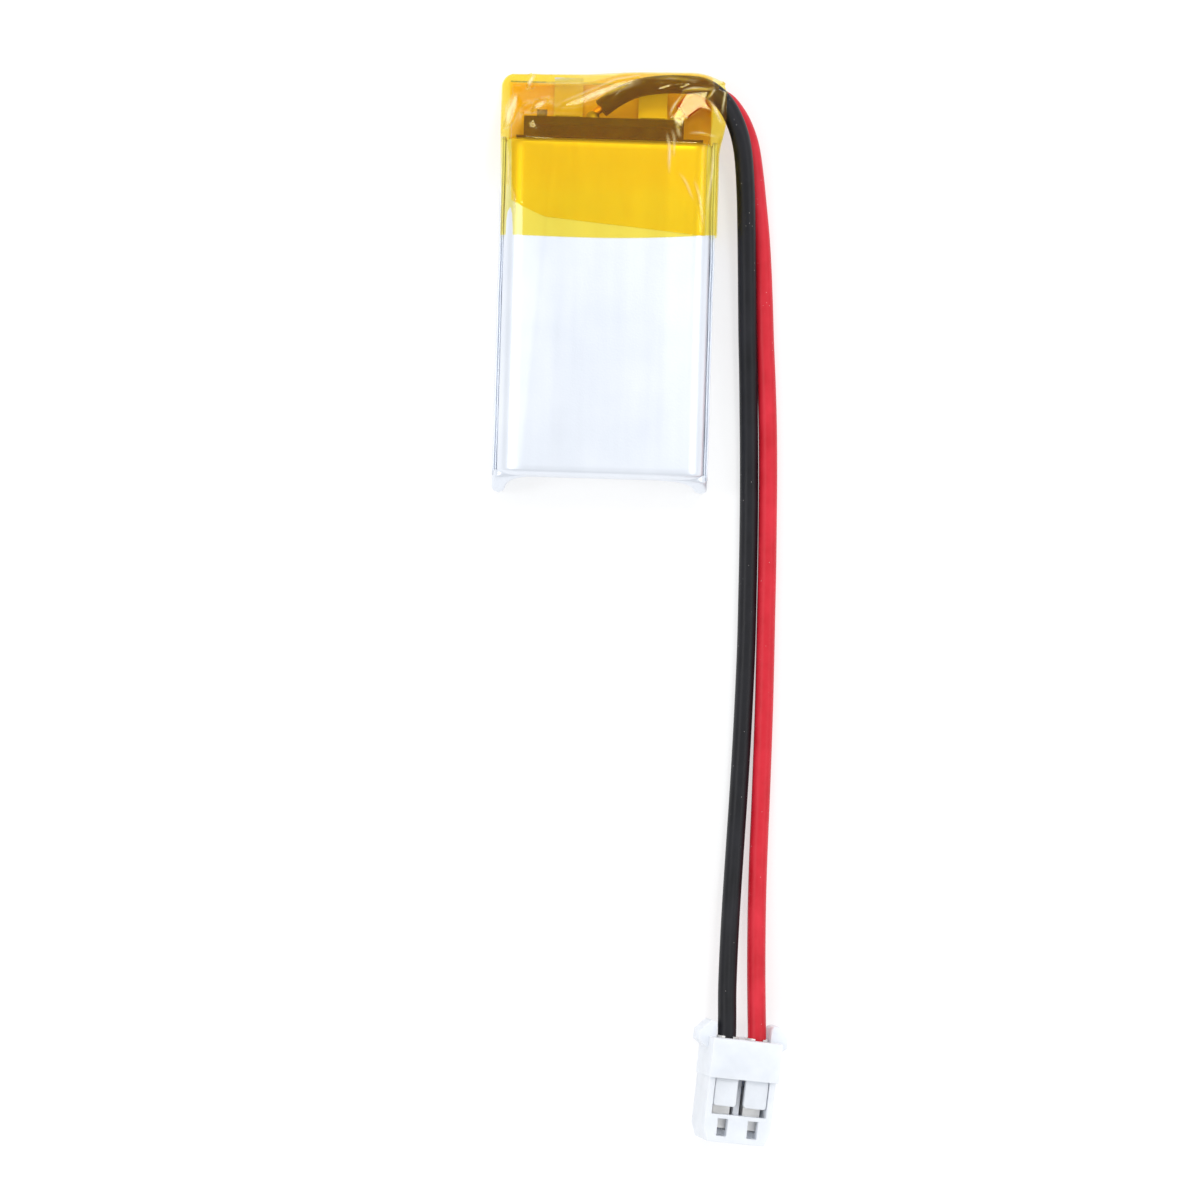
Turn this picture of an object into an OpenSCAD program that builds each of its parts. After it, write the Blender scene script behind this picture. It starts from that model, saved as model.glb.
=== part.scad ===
// Small lithium polymer battery pack: one pouch cell with a protection board
// under an amber tape wrap, two soft leads and a two-way plug of 1.5 mm pitch.
// Frame: +Y towards the taped head, +X towards the leads, +Z up through the
// thickness. The pack lies on its back at z = 0, centred on the origin.

/* [Cell] */
// Width of the pouch across its folded side seams
cell_w = 10.4; // [10:0.1:11]
// Thickness of the pouch
cell_t = 3.9; // [3.8:0.05:4.3]
// Length of the pack, from the foot corners to the taped head
pack_l = 20.5; // [20:0.1:22]
// Length of the deep-drawn cup that holds the winding
cup_l = 16.3; // [16:0.1:16.5]
// Thickness of the aluminium laminate
laminate_t = 0.11; // [0.08:0.01:0.12]
// Radius along the cup's front edges
cup_r = 0.9; // [0.5:0.1:1.2]
// Height of the folded side seams
seam_h = 2.6; // [1.5:0.1:2.8]
// How far the foot corners stand past the foot fold
horn_l = 0.8; // [0.4:0.1:0.9]

/* [Winding] */
// Full turns of the flat-wound electrodes
turns = 4; // [2:1:4]
// Thickness of a coated electrode
electrode_t = 0.13; // [0.1:0.01:0.13]
// Thickness of a separator
separator_t = 0.03; // [0.02:0.01:0.03]
// Length of the straight run between the rounded sides
run_l = 6; // [5:0.1:6]

/* [Tabs and board] */
// Width of each tab
tab_w = 1.4; // [1:0.1:1.6]
// Distance of each tab from the middle of the cell
tab_x = 2.05; // [2:0.05:2.3]
// Thickness of each tab
tab_t = 0.08; // [0.06:0.01:0.08]
// Width of the protection board
board_w = 7.7; // [7.4:0.1:8]
// Height of the protection board, which stands on edge
board_h = 2.85; // [2.6:0.05:2.85]
// Thickness of the protection board
board_t = 0.4; // [0.3:0.05:0.4]

/* [Tape] */
// Width of the amber tape
tape_l = 8.2; // [7:0.1:9]
// Thickness of the tape
film_t = 0.05; // [0.03:0.01:0.05]
// Height of the taped head at its end
head_h = 3; // [2.9:0.05:3.4]

/* [Leads] */
// Outer diameter of a lead
lead_d = 0.9; // [0.7:0.05:0.9]
// Diameter of the tinned strands
strand_d = 0.38; // [0.3:0.02:0.4]

/* [Plug] */
// Distance between the two contacts
pitch = 1.5; // [1.5:0.05:1.6]
// Width of the housing
plug_w = 3.44; // [3.4:0.02:3.6]
// Thickness of the housing
plug_t = 3; // [2.9:0.05:3.1]
// Length of the housing from the wire entry to the mating end
plug_l = 5; // [4.9:0.05:5.2]
// Lean of the plug to the side, in degrees
plug_yaw = 5; // [0:0.5:8]
// Roll of the plug about its own length, in degrees
plug_roll = 12; // [0:0.5:12]

/* [Hidden] */
$fn = 48;
gap = 0.01;                              // clearance between neighbouring sheets
eps = 0.5;                               // overrun of a cutting solid

// Heights, from the back up
tape_t = cell_t + 4 * (film_t + gap);    // over both wraps of tape
cell_z = 2 * (film_t + gap);             // back of the pouch
cup_z = cell_z + laminate_t;             // open rim of the cup
cell_top = cell_z + cell_t;
seam_z = cell_z + seam_h;                // top of the folded seams

// Stations along the length
head_y = pack_l / 2;
foot_y = -pack_l / 2 + horn_l;
cup_y = foot_y + cup_l;                  // head wall of the cup
terrace_y = cup_y + 2.9;                 // end of the sealed terrace
tape_y = head_y - tape_l;                // lower edge of the tape
tape_w = cell_w + 2 * (film_t + 0.08);

// The cup's wall stands inside the two folded layers of each seam
cup_w = cell_w - 4 * laminate_t - 2 * gap;

// Terrace: cover, tab with its seal, and the cup's flange over both
seal_t = 0.18;
seal_w = tab_w + 0.8;
hump_w = seal_w + 0.6;
flange_z = cup_z + laminate_t;           // top of the plain flange
hump_z = cup_z + seal_t + laminate_t;    // top of the flange over a tab
tab_z = cup_z + seal_t / 2;              // middle of a tab inside the seal

// Winding: four layers share each turn
layer_gap = 0.005;
turn_pitch = 2 * (electrode_t + separator_t) + 4 * layer_gap;
core_r = 0.1;                            // middle of the innermost layer
anode_r = core_r + separator_t / 2 + layer_gap + electrode_t / 2;
separator_2_r = anode_r + separator_t / 2 + layer_gap + electrode_t / 2;
cathode_r = separator_2_r + separator_t / 2 + layer_gap + electrode_t / 2;
winding_z = cell_z + cell_t / 2;
separator_l = 15.2;
anode_l = 14.8;
cathode_l = 14.4;
winding_y = foot_y + laminate_t + 0.1 + separator_l / 2;
winding_end = winding_y + separator_l / 2;

// Board and the sheets beside it
paper_t = 0.05;
paper_z = hump_z + gap;                  // underside of the terrace insulator
board_x = -0.3;
board_z = paper_z + paper_t + 0.02;
board_y = cup_y + 1;                     // outer face of the board
board_back = board_y - board_t;          // face towards the cup
pad_t = 0.02;
strip_t = 0.1;
strip_z = board_z + 0.35;
strip_h = 1.6;
tab_face = board_y + pad_t + strip_t;    // outer face of the nickel strips
tab_rise_z = paper_z + paper_t + 0.14;   // level of a tab folded back over the terrace

// Plug: origin at the middle of its back, in the plane of the wire entry
plug_at = [7.36, -36.3, 0.36];
wire_z = plug_t / 2;
step_y = -1.9;                           // thick rear part of the housing ends
cavity_w = 1.2;
cavity_h = 1.5;
window_y = -3.65;

function unit(v) = v / norm(v);
function reversed(list) = [for (i = [len(list) - 1:-1:0]) list[i]];

// A point of the plug's own frame in the pack's frame
function plug_point(p) =
  let (x = p.x * cos(plug_roll) + p.z * sin(plug_roll),
       z = p.z * cos(plug_roll) - p.x * sin(plug_roll))
  plug_at + [x * cos(plug_yaw) + p.y * sin(plug_yaw), p.y * cos(plug_yaw) - x * sin(plug_yaw), z];

// Routes of the two leads, from the board to the crimps in the plug
lead_end_y = -0.85;
black_route = [
  [-0.45, 8.35, 2.7], [0.35, 8.95, 2.6], [1.3, 9.4, 2.45], [2.5, 9.62, 2.32], [3.6, 9.65, 2.25],
  [4.4, 9.58, 2.22], [5.05, 9.25, 2.2], [5.6, 8.7, 2.18], [6, 8, 2.12], [6.3, 7.2, 2],
  [6.5, 6.2, 1.82], [6.65, 4.6, 1.55], [6.75, 2.8, 1.28], [6.82, 1.2, 1.08], [6.88, -0.3, 0.97],
  [6.96, -2.3, 0.88], [7.06, -4.3, 0.74], [7.14, -6.2, 0.58], [7.22, -8.3, 0.48], [7.28, -10.5, 0.46],
  [7.32, -12.8, 0.46], [7.34, -15.1, 0.46], [7.35, -17.4, 0.46], [7.32, -19.7, 0.46],
  [7.27, -22, 0.47], [7.2, -24.3, 0.52], [7.12, -26.4, 0.64], [7.04, -28.4, 0.84],
  [6.97, -30.3, 1.12], [6.92, -32.2, 1.45], [6.9, -34, 1.75], [6.93, -35.3, 1.92],
  plug_point([-pitch / 2, 0, wire_z]), plug_point([-pitch / 2, lead_end_y, wire_z])
];
red_route = [
  [3.45, 8.4, 1.4], [3.85, 8.78, 1.34], [4.35, 9.05, 1.28], [5, 9.16, 1.25],
  [5.6, 8.95, 1.23], [6.1, 8.4, 1.18], [6.5, 7.7, 1.1], [6.82, 6.8, 1], [7.06, 5.5, 0.85],
  [7.25, 4.1, 0.7], [7.44, 2.6, 0.58], [7.58, 1.1, 0.5], [7.7, -0.6, 0.46], [7.82, -2.6, 0.46],
  [7.96, -4.6, 0.46], [8.08, -6.7, 0.46], [8.16, -8.9, 0.46], [8.21, -11.2, 0.46],
  [8.25, -13.5, 0.46], [8.27, -15.8, 0.46], [8.29, -18.1, 0.46], [8.3, -20.4, 0.46],
  [8.29, -22.7, 0.46], [8.27, -25, 0.48], [8.24, -27.2, 0.56], [8.23, -29.3, 0.72],
  [8.25, -31.3, 0.97], [8.29, -33.2, 1.26], [8.35, -34.9, 1.52],
  plug_point([pitch / 2, 0, wire_z]), plug_point([pitch / 2, lead_end_y, wire_z])
];

// ---- Shared shapes -------------------------------------------------------

// Extrudes an outline drawn in X and Z along Y, between two stations
module along_y(y0, y1) {
  translate([0, y1, 0]) rotate([90, 0, 0]) linear_extrude(y1 - y0) children();
}

// Extrudes an outline drawn in Y and Z along X, centred, over a width
module along_x(w) {
  rotate([90, 0, 90]) linear_extrude(w, center = true) children();
}

// Rectangle with one radius on chosen corners: [low left, low right, top left, top right]
module rounded_rect(x0, y0, x1, y1, r, corners = [1, 1, 1, 1]) {
  translate([x0 + r, y0]) square([x1 - x0 - 2 * r, y1 - y0]);
  translate([x0, y0 + r]) square([x1 - x0, y1 - y0 - 2 * r]);
  places = [[x0 + r, y0 + r], [x1 - r, y0 + r], [x0 + r, y1 - r], [x1 - r, y1 - r]];
  for (i = [0:3]) translate(places[i])
    if (corners[i]) circle(r); else square(2 * r, center = true);
}

// Outline of a thin strip of even thickness along a bent line
function strip_normal(line, i) =
  let (before = unit(line[max(i, 1)] - line[max(i, 1) - 1]),
       after = unit(line[min(i, len(line) - 2) + 1] - line[min(i, len(line) - 2)]),
       mid = unit([-before.y, before.x] + [-after.y, after.x]))
  mid / (mid * [-after.y, after.x]);
function strip_outline(line, t) = concat(
  [for (i = [0:len(line) - 1]) line[i] + t / 2 * strip_normal(line, i)],
  reversed([for (i = [0:len(line) - 1]) line[i] - t / 2 * strip_normal(line, i)]));

// Box given by its lowest and highest corners
module block(low, high) {
  translate(low) cube(high - low);
}

// ---- Pouch ---------------------------------------------------------------

// The deep-drawn form, inset by a wall thickness
module cup_form(inset, low) {
  w = cup_w / 2 - inset;
  y0 = foot_y + inset;
  y1 = cup_y - inset;
  top = cell_top - inset;
  r = cup_r - inset;
  intersection() {
    along_y(y0, y1) rounded_rect(-w, low, w, top, r, [0, 0, 1, 1]);
    along_x(cup_w) rounded_rect(y0, low, y1, top, r / 2, [0, 0, 1, 1]);
    translate([0, 0, low]) linear_extrude(top - low) rounded_rect(-w, y0, w, y1, r / 2);
  }
}

// Cup half of the laminate: drawn cup, inner seam layers and terrace flange
module pouch_cup() color("gainsboro") difference() {
  seam_x = cell_w / 2 - laminate_t - gap / 2;
  union() {
    cup_form(0, cup_z);
    along_y(foot_y, cup_y) for (s = [-1, 1]) {
      translate([s > 0 ? cup_w / 2 - 0.4 : -seam_x, cup_z]) square([seam_x - cup_w / 2 + 0.4, laminate_t]);
      translate([s > 0 ? seam_x - laminate_t : -seam_x, cup_z]) square([laminate_t, seam_z - cup_z]);
    }
    block([-seam_x, cup_y - 0.2, cup_z], [seam_x, terrace_y, flange_z]);
    for (s = [-1, 1])
      block([s * tab_x - hump_w / 2, cup_y - 0.2, cup_z], [s * tab_x + hump_w / 2, terrace_y, hump_z]);
  }
  cup_form(laminate_t, cup_z - eps);
  for (s = [-1, 1])
    block([s * tab_x - seal_w / 2, cup_y - 0.4, cup_z - eps],
          [s * tab_x + seal_w / 2, terrace_y + eps, cup_z + seal_t]);
}

// Corner of the folded laminate, which stands past the foot fold
module foot_corner() {
  tip_r = 0.29;
  x1 = cell_w / 2;
  intersection() {
    translate([0, 0, cell_z]) linear_extrude(seam_h) difference() {
      union() {
        translate([x1 - 1.3, -head_y + tip_r]) square([1.3, horn_l - tip_r]);
        translate([x1 - tip_r, -head_y + tip_r]) circle(tip_r);
      }
      translate([x1 - 1.3, -head_y + 0.08]) circle(horn_l - 0.08);
    }
    along_x(2 * cell_w)
      polygon([[-head_y, cell_z], [foot_y, cell_z], [foot_y, seam_z], [-head_y, seam_z - 1.1]]);
  }
}

// Cover half of the laminate: back sheet, outer seam layers and foot corners
module pouch_cover() color("silver") {
  r = 0.3;
  w = cell_w / 2;
  t = laminate_t;
  along_y(foot_y, cup_y) difference() {
    rounded_rect(-w, cell_z, w, seam_z, r, [1, 1, 0, 0]);
    translate([-w + t, cell_z + t]) square([2 * (w - t), seam_h]);
  }
  block([-w + r, foot_y, cell_z], [w - r, terrace_y, cell_z + t]);
  for (s = [0, 1]) mirror([s, 0, 0]) foot_corner();
}

// ---- Winding -------------------------------------------------------------

// Flat-wound line: half turns about two centres, a run apart, at a growing radius
function wound_line(start_r) = [
  for (half = [0:2 * turns - 1], step = [0:8])
    let (a = 180 * half - 90 + 22.5 * step,
         r = start_r + turn_pitch * (a + 90) / 360,
         side = half % 2 == 0 ? 1 : -1)
    [side * run_l / 2 + r * cos(a), r * sin(a)]
];

module wound_sheet(start_r, t, l) {
  translate([0, 0, winding_z]) along_y(winding_y - l / 2, winding_y + l / 2)
    polygon(concat(wound_line(start_r + t / 2), reversed(wound_line(start_r - t / 2))));
}

// Height of a sheet's lower run, counted in turns from the middle
function lower_run_z(start_r, turn) = winding_z - start_r - turn_pitch * turn;

// Bare foil that leaves the winding, where the tab is welded on
foil_y = winding_end + 0.35;
positive_foil_z = lower_run_z(cathode_r, 3);
negative_foil_z = lower_run_z(anode_r, 3);

module foil_tail(side, z) {
  block([side * tab_x - tab_w / 2, winding_end - 0.5, z - electrode_t / 2],
        [side * tab_x + tab_w / 2, foil_y, z + electrode_t / 2]);
}

module cathode_winding() color("dimgray") {
  wound_sheet(cathode_r, electrode_t, cathode_l);
  foil_tail(1, positive_foil_z);
}

module anode_winding() color("sienna") {
  wound_sheet(anode_r, electrode_t, anode_l);
  foil_tail(-1, negative_foil_z);
}

module separator_inner() color("white") wound_sheet(core_r, separator_t, separator_l);

module separator_outer() color("ivory") wound_sheet(separator_2_r, separator_t, separator_l);

// Fixing tape across the last turn
module winding_tape() color("mediumseagreen") {
  outer_z = winding_z + cathode_r + turn_pitch * (turns - 0.5) + electrode_t / 2 + gap;
  block([-2, winding_y - 5, outer_z], [2, winding_y + 5, outer_z + 0.04]);
}

// ---- Tabs ----------------------------------------------------------------

// One tab: from under its foil, through the seal, folded back and up the board
module tab(side, foil_z) {
  weld_z = foil_z - electrode_t / 2 - tab_t / 2;
  back_y = terrace_y + 0.15;
  stand_y = tab_face + tab_t / 2;
  line = [
    [winding_end + 0.05, weld_z], [foil_y, weld_z], [cup_y - 0.1, tab_z],
    [back_y - 0.1, tab_z], [back_y, tab_z + 0.1], [back_y, tab_rise_z - 0.1],
    [back_y - 0.1, tab_rise_z], [stand_y + 0.15, tab_rise_z], [stand_y, tab_rise_z + 0.15],
    [stand_y, strip_z + strip_h]
  ];
  translate([side * tab_x, 0, 0]) along_x(tab_w) polygon(strip_outline(line, tab_t));
}

module positive_tab() color("lightgray") tab(1, positive_foil_z);

module negative_tab() color("darkkhaki") tab(-1, negative_foil_z);

// Polypropylene film that seals a tab between the laminates
module tab_seal(side) {
  difference() {
    block([side * tab_x - seal_w / 2, cup_y + 0.1, cup_z],
          [side * tab_x + seal_w / 2, terrace_y, cup_z + seal_t]);
    block([side * tab_x - tab_w / 2, cup_y - eps, tab_z - tab_t / 2],
          [side * tab_x + tab_w / 2, terrace_y + eps, tab_z + tab_t / 2]);
  }
}

module positive_tab_seal() color("whitesmoke") tab_seal(1);

module negative_tab_seal() color("whitesmoke") tab_seal(-1);

// ---- Protection board ----------------------------------------------------

module terrace_insulator() color("palegoldenrod")
  block([-4.9, cup_y + 0.05, paper_z], [4.9, terrace_y - 0.1, paper_z + paper_t]);

module board_insulator() color("wheat")
  block([-4.5, cup_y + 0.02, board_z], [4.5, cup_y + 0.02 + paper_t, board_z + board_h]);

module circuit_board() color("darkgreen")
  block([board_x - board_w / 2, board_back, board_z], [board_x + board_w / 2, board_y, board_z + board_h]);

// Copper pad on the outer face of the board
module pad(x, z, w, h) {
  block([x - w / 2, board_y, z - h / 2], [x + w / 2, board_y + pad_t, z + h / 2]);
}

black_pad = [-0.85, 2.8];
red_pad = [3.15, 1.4];
strip_mid_z = strip_z + strip_h / 2;
chip_resistor = [1, 0.5, 0.35];
outer_resistor = [-3.3, 2.2];

module board_pads() color("goldenrod") {
  for (s = [-1, 1]) pad(s * tab_x, strip_mid_z, tab_w + 0.1, strip_h + 0.1);
  for (p = [black_pad, red_pad]) pad(p.x, p.y, 0.7, 0.7);
  for (s = [-1, 1]) pad(outer_resistor.x, outer_resistor.y + s * 0.4, 0.5, 0.3);
}

// Parts on the face towards the cup, given by their middle and their size
module on_back(x, z, size) {
  block([x - size.x / 2, board_back - size.y, z - size.z / 2],
        [x + size.x / 2, board_back, z + size.z / 2]);
}

chip_lift = 0.04;                        // chips stand off the board on their legs
protection_at = [-2.6, 2];
protection_size = [1.6, 0.46, 1.3];
switch_at = [0.2, 2];
switch_size = [2.2, 0.46, 1.5];

module chip(at, size) {
  translate([0, -chip_lift, 0]) on_back(at.x, at.y, size);
}

module protection_chip() color("dimgray") chip(protection_at, protection_size);

module switch_chip() color("dimgray") chip(switch_at, switch_size);

// Legs along the top and bottom edges of both chips
module leg_rows(at, size, count) {
  for (i = [0:count - 1], s = [-1, 1]) {
    x = at.x + (i - (count - 1) / 2) * 0.5;
    z = at.y + s * (size.z / 2 + 0.13);
    on_back(x, z, [0.22, 0.12, 0.26]);
  }
}

module chip_legs() color("silver") {
  leg_rows(protection_at, protection_size, 3);
  leg_rows(switch_at, switch_size, 4);
}

resistor_places = [[2.2, 2.7], [2.2, 1.2]];
capacitor_at = [2.2, 1.95];
cap_w = 0.22;

module resistors() color("black") {
  for (p = resistor_places) on_back(p.x, p.y, [1 - 2 * cap_w, 0.33, 0.5]);
  block([outer_resistor.x - 0.25, board_y + pad_t, outer_resistor.y - 0.28],
        [outer_resistor.x + 0.25, board_y + pad_t + 0.33, outer_resistor.y + 0.28]);
}

module capacitor() color("tan") on_back(capacitor_at.x, capacitor_at.y, [1 - 2 * cap_w, 0.46, 0.5]);

// Tinned end caps of the resistors and the capacitor
module component_caps() color("silver") {
  for (s = [-1, 1]) {
    reach = s * (0.5 - cap_w / 2);
    for (p = resistor_places) on_back(p.x + reach, p.y, [cap_w, 0.35, 0.5]);
    on_back(capacitor_at.x + reach, capacitor_at.y, [cap_w, 0.48, 0.5]);
    z = outer_resistor.y + s * (0.28 + cap_w / 2);
    block([outer_resistor.x - 0.25, board_y + pad_t, z - cap_w / 2],
          [outer_resistor.x + 0.25, board_y + pad_t + 0.35, z + cap_w / 2]);
  }
}

// Nickel strip between a pad and its tab
module nickel_strip(side) {
  y0 = board_y + pad_t;
  block([side * tab_x - tab_w / 2, y0, strip_z], [side * tab_x + tab_w / 2, y0 + strip_t, strip_z + strip_h]);
}

module positive_strip() color("lightsteelblue") nickel_strip(1);

module negative_strip() color("lightsteelblue") nickel_strip(-1);

// Solder: a dome over each lead's strands and a fillet on top of each strip
module solder_joints() color("lightgray") difference() {
  union() {
    for (p = [black_pad, red_pad]) translate([p.x, board_y + pad_t, p.y]) sphere(0.34);
    for (s = [-1, 1]) translate([s * tab_x, board_y + pad_t, strip_z + strip_h])
      rotate([0, 90, 0]) cylinder(r = strip_t, h = tab_w - 0.2, center = true);
  }
  block([-5, board_back, 0], [5, board_y + pad_t, 5]);
  for (s = [-1, 1])
    block([s * tab_x - tab_w / 2 - gap, board_back, 0],
          [s * tab_x + tab_w / 2 + gap, tab_face + tab_t, strip_z + strip_h]);
  for (route = [black_route, red_route]) bare_end(route);
}

// Dark foam that fills the gap between the board and the cell, above the parts
module foam_strip() color("dimgray")
  block([board_x - board_w / 2, cup_y + 0.02 + paper_t + gap, board_z + board_h - 0.39],
        [board_x + board_w / 2, board_back - gap, board_z + board_h - 0.03]);

// ---- Tape ----------------------------------------------------------------

// Outside of the wrap, inset by a number of film thicknesses
module wrap_form(inset, low_y) {
  w = tape_w / 2 - inset;
  end = head_y - inset;
  top = tape_t - inset;
  intersection() {
    along_x(tape_w)
      polygon([[low_y, inset], [end, inset], [end, head_h - inset], [cup_y + 0.1, top], [low_y, top]]);
    along_y(low_y, end) rounded_rect(-w, inset, w, top, 1 - inset, [0, 0, 1, 1]);
    linear_extrude(2 * tape_t) rounded_rect(-w, low_y, w, end, 0.5 - inset, [0, 0, 1, 1]);
  }
}

// First strip, folded over the head from the front to the back
module tape_inner() color("gold") intersection() {
  difference() {
    wrap_form(film_t + gap, tape_y - 2);
    wrap_form(2 * film_t + gap, tape_y - 3);
  }
  block([-4.7, tape_y + 0.35, 0], [4.7, head_y, tape_t]);
}

// Second strip, wound round the width, with the gap that the leads leave by
module tape_outer() color("orange") difference() {
  wrap_form(0, tape_y);
  wrap_form(film_t, tape_y - eps);
  block([tape_w / 2 - 0.4, head_y - 2.1, 0.7], [tape_w, head_y - 0.5, 2.75]);
}

// ---- Leads ---------------------------------------------------------------

lead_sides = 8;

// Direction of a route at one of its points
function heading(route, i) = unit(route[min(i + 1, len(route) - 1)] - route[max(i - 1, 0)]);

// Ring of points about a route, square to it
function ring(route, i) =
  let (t = heading(route, i), side = unit(cross(t, [0, 0, 1])), up = cross(side, t))
  [for (k = [0:lead_sides - 1])
    let (a = 360 * k / lead_sides) route[i] + lead_d / 2 * (cos(a) * side + sin(a) * up)];

module lead(route) {
  last = len(route) - 1;
  n = lead_sides;
  polyhedron(
    [for (i = [0:last]) each ring(route, i)],
    concat(
      [[for (k = [0:n - 1]) k], [for (k = [n - 1:-1:0]) last * n + k]],
      [for (i = [0:last - 1], k = [0:n - 1])
        let (a = i * n + k, b = i * n + (k + 1) % n) each [[a, a + n, b + n], [a, b + n, b]]]));
}

module lead_black() color("#28282d") lead(black_route);

module lead_red() color("#d72837") lead(red_route);

// Tinned strands at the board end of a lead
module bare_end(route) {
  d = -heading(route, 0);
  translate(route[0]) rotate([0, acos(d.z), atan2(d.y, d.x)]) cylinder(d = strand_d, h = 0.5);
}

// Tinned strands inside the plug, in the plug's own frame
crimp_y = -1.5;
strand_end_y = -2.05;
module crimped_end(x) {
  translate([x, lead_end_y, wire_z]) rotate([90, 0, 0]) cylinder(d = strand_d, h = lead_end_y - strand_end_y);
}

module in_plug() {
  translate(plug_at) rotate([0, 0, -plug_yaw]) rotate([0, plug_roll, 0]) children();
}

module strands_black() color("peru") {
  bare_end(black_route);
  in_plug() crimped_end(-pitch / 2);
}

module strands_red() color("peru") {
  bare_end(red_route);
  in_plug() crimped_end(pitch / 2);
}

// ---- Plug ----------------------------------------------------------------

// Contact of folded sheet: box for the pin, floor, strand crimp and insulation crimp
module terminal(x) {
  t = 0.11;
  half_w = 0.42;
  half_h = 0.55;
  floor_z = wire_z - half_h;
  in_plug() translate([x, 0, 0]) difference() {
    union() {
      block([-half_w, -4.35, floor_z], [half_w, -2.35, wire_z + half_h]);
      block([-0.25, -2.4, floor_z], [0.25, -0.3, floor_z + t]);
      block([-0.12, strand_end_y, floor_z], [0.12, crimp_y, wire_z]);
      translate([0, crimp_y, wire_z]) rotate([90, 0, 0])
        cylinder(r = strand_d / 2 + t, h = crimp_y - strand_end_y);
      translate([0, 0.07, wire_z]) rotate([90, 0, 0]) cylinder(r = lead_d / 2 + t, h = 0.45);
    }
    block([-half_w + t, -4.35 - eps, floor_z + t], [half_w - t, -2.45, wire_z + half_h - t]);
    translate([0, 0, wire_z]) rotate([90, 0, 0]) cylinder(d = strand_d, h = -strand_end_y);
    translate([0, eps, wire_z]) rotate([90, 0, 0]) cylinder(d = lead_d + gap, h = eps - lead_end_y);
    block([-0.2, -0.9, wire_z], [0.2, eps, plug_t]);
  }
}

module terminal_black() color("silver") terminal(-pitch / 2);

module terminal_red() color("silver") terminal(pitch / 2);

// Half of the housing's plan: side, chamfered mating end and flared ear
body_plan = [[0, 0], [plug_w / 2, 0], [plug_w / 2, step_y], [plug_w / 2 - 0.07, step_y],
  [plug_w / 2 - 0.07, -plug_l + 0.65], [plug_w / 2 - 0.32, -plug_l], [0, -plug_l]];
ear_plan = [[1.15, -0.2], [1.15, 0.1], [1.42, 0.72], [1.68, 0.78], [2.2, 0.2], [2.2, -0.25],
  [plug_w / 2, -0.6], [plug_w / 2 - 0.2, -0.6]];

// One latch tongue, hinged on the thick rear part, with rounded corners
module latch_tongue() {
  half_w = 0.55;
  end_y = step_y - 1.35;
  translate([0, 0, 2.3]) linear_extrude(0.38)
    rounded_rect(-half_w, end_y, half_w, step_y + 0.3, 0.15, [1, 1, 0, 0]);
}

module housing_block() {
  for (s = [0, 1]) mirror([s, 0, 0]) {
    linear_extrude(plug_t - 0.25) polygon(body_plan);
    translate([0, 0, 0.5]) linear_extrude(1.4) polygon(ear_plan);
  }
  translate([-plug_w / 2, step_y, 1]) cube([plug_w, -step_y, plug_t - 1]);
}

module plug_housing() color("whitesmoke") in_plug() {
  difference() {
    housing_block();
    for (s = [-1, 1]) translate([s * pitch / 2, 0, 0]) {
      block([-cavity_w / 2, -4.45, wire_z - cavity_h / 2], [cavity_w / 2, 1, wire_z + cavity_h / 2]);
      block([-0.35, -plug_l - eps, wire_z - 0.4], [0.35, -4.4, wire_z + 0.4]);
      block([-0.25, -4.7, wire_z], [0.25, window_y - 0.2, plug_t]);
    }
    window_x = pitch / 2 + cavity_w / 2;
    block([-window_x, window_y, 2], [window_x, step_y, plug_t]);
    block([-1.1, -plug_l - eps, -eps], [1.1, -0.8, 0.12]);
  }
  for (s = [-1, 1]) translate([s * pitch / 2, 0, 0]) latch_tongue();
}

// ---- Assembly ------------------------------------------------------------

pouch_cup();
pouch_cover();
cathode_winding();
anode_winding();
separator_inner();
separator_outer();
winding_tape();
positive_tab();
negative_tab();
positive_tab_seal();
negative_tab_seal();
terrace_insulator();
board_insulator();
circuit_board();
board_pads();
protection_chip();
switch_chip();
chip_legs();
resistors();
capacitor();
component_caps();
positive_strip();
negative_strip();
solder_joints();
foam_strip();
tape_inner();
tape_outer();
lead_black();
lead_red();
strands_black();
strands_red();
terminal_black();
terminal_red();
plug_housing();
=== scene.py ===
# %% [markdown]
# # A small lithium polymer battery pack
#
# The pack has three looks to learn from: a satin aluminium pouch, a see-through amber tape
# that is stretched over a little circuit board, and two rubbery leads that end in a white
# nylon plug. The sizes come from a CAD model that is loaded first and never changed.
# Everything is in metres in Blender, but the numbers below are in millimetres, because that
# is how a maker thinks about a part this small.

# %% Load the CAD model
import math

import bmesh
import bpy
import numpy as np
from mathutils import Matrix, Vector, noise


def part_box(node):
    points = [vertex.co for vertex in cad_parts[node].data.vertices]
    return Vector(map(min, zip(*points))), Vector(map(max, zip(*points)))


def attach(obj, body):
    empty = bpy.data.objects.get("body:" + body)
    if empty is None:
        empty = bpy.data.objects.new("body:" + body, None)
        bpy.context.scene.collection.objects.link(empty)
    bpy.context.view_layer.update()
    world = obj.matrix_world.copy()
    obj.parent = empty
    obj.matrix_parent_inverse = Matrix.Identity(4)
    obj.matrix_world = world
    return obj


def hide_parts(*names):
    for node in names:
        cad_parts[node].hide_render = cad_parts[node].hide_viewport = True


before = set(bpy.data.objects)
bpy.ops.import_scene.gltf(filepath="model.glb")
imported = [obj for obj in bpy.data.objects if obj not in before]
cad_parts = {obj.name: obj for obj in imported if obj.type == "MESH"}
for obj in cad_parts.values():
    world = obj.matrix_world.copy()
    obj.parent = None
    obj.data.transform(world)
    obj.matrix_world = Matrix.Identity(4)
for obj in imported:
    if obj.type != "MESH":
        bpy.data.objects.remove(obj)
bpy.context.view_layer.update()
MM = 0.001


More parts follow.
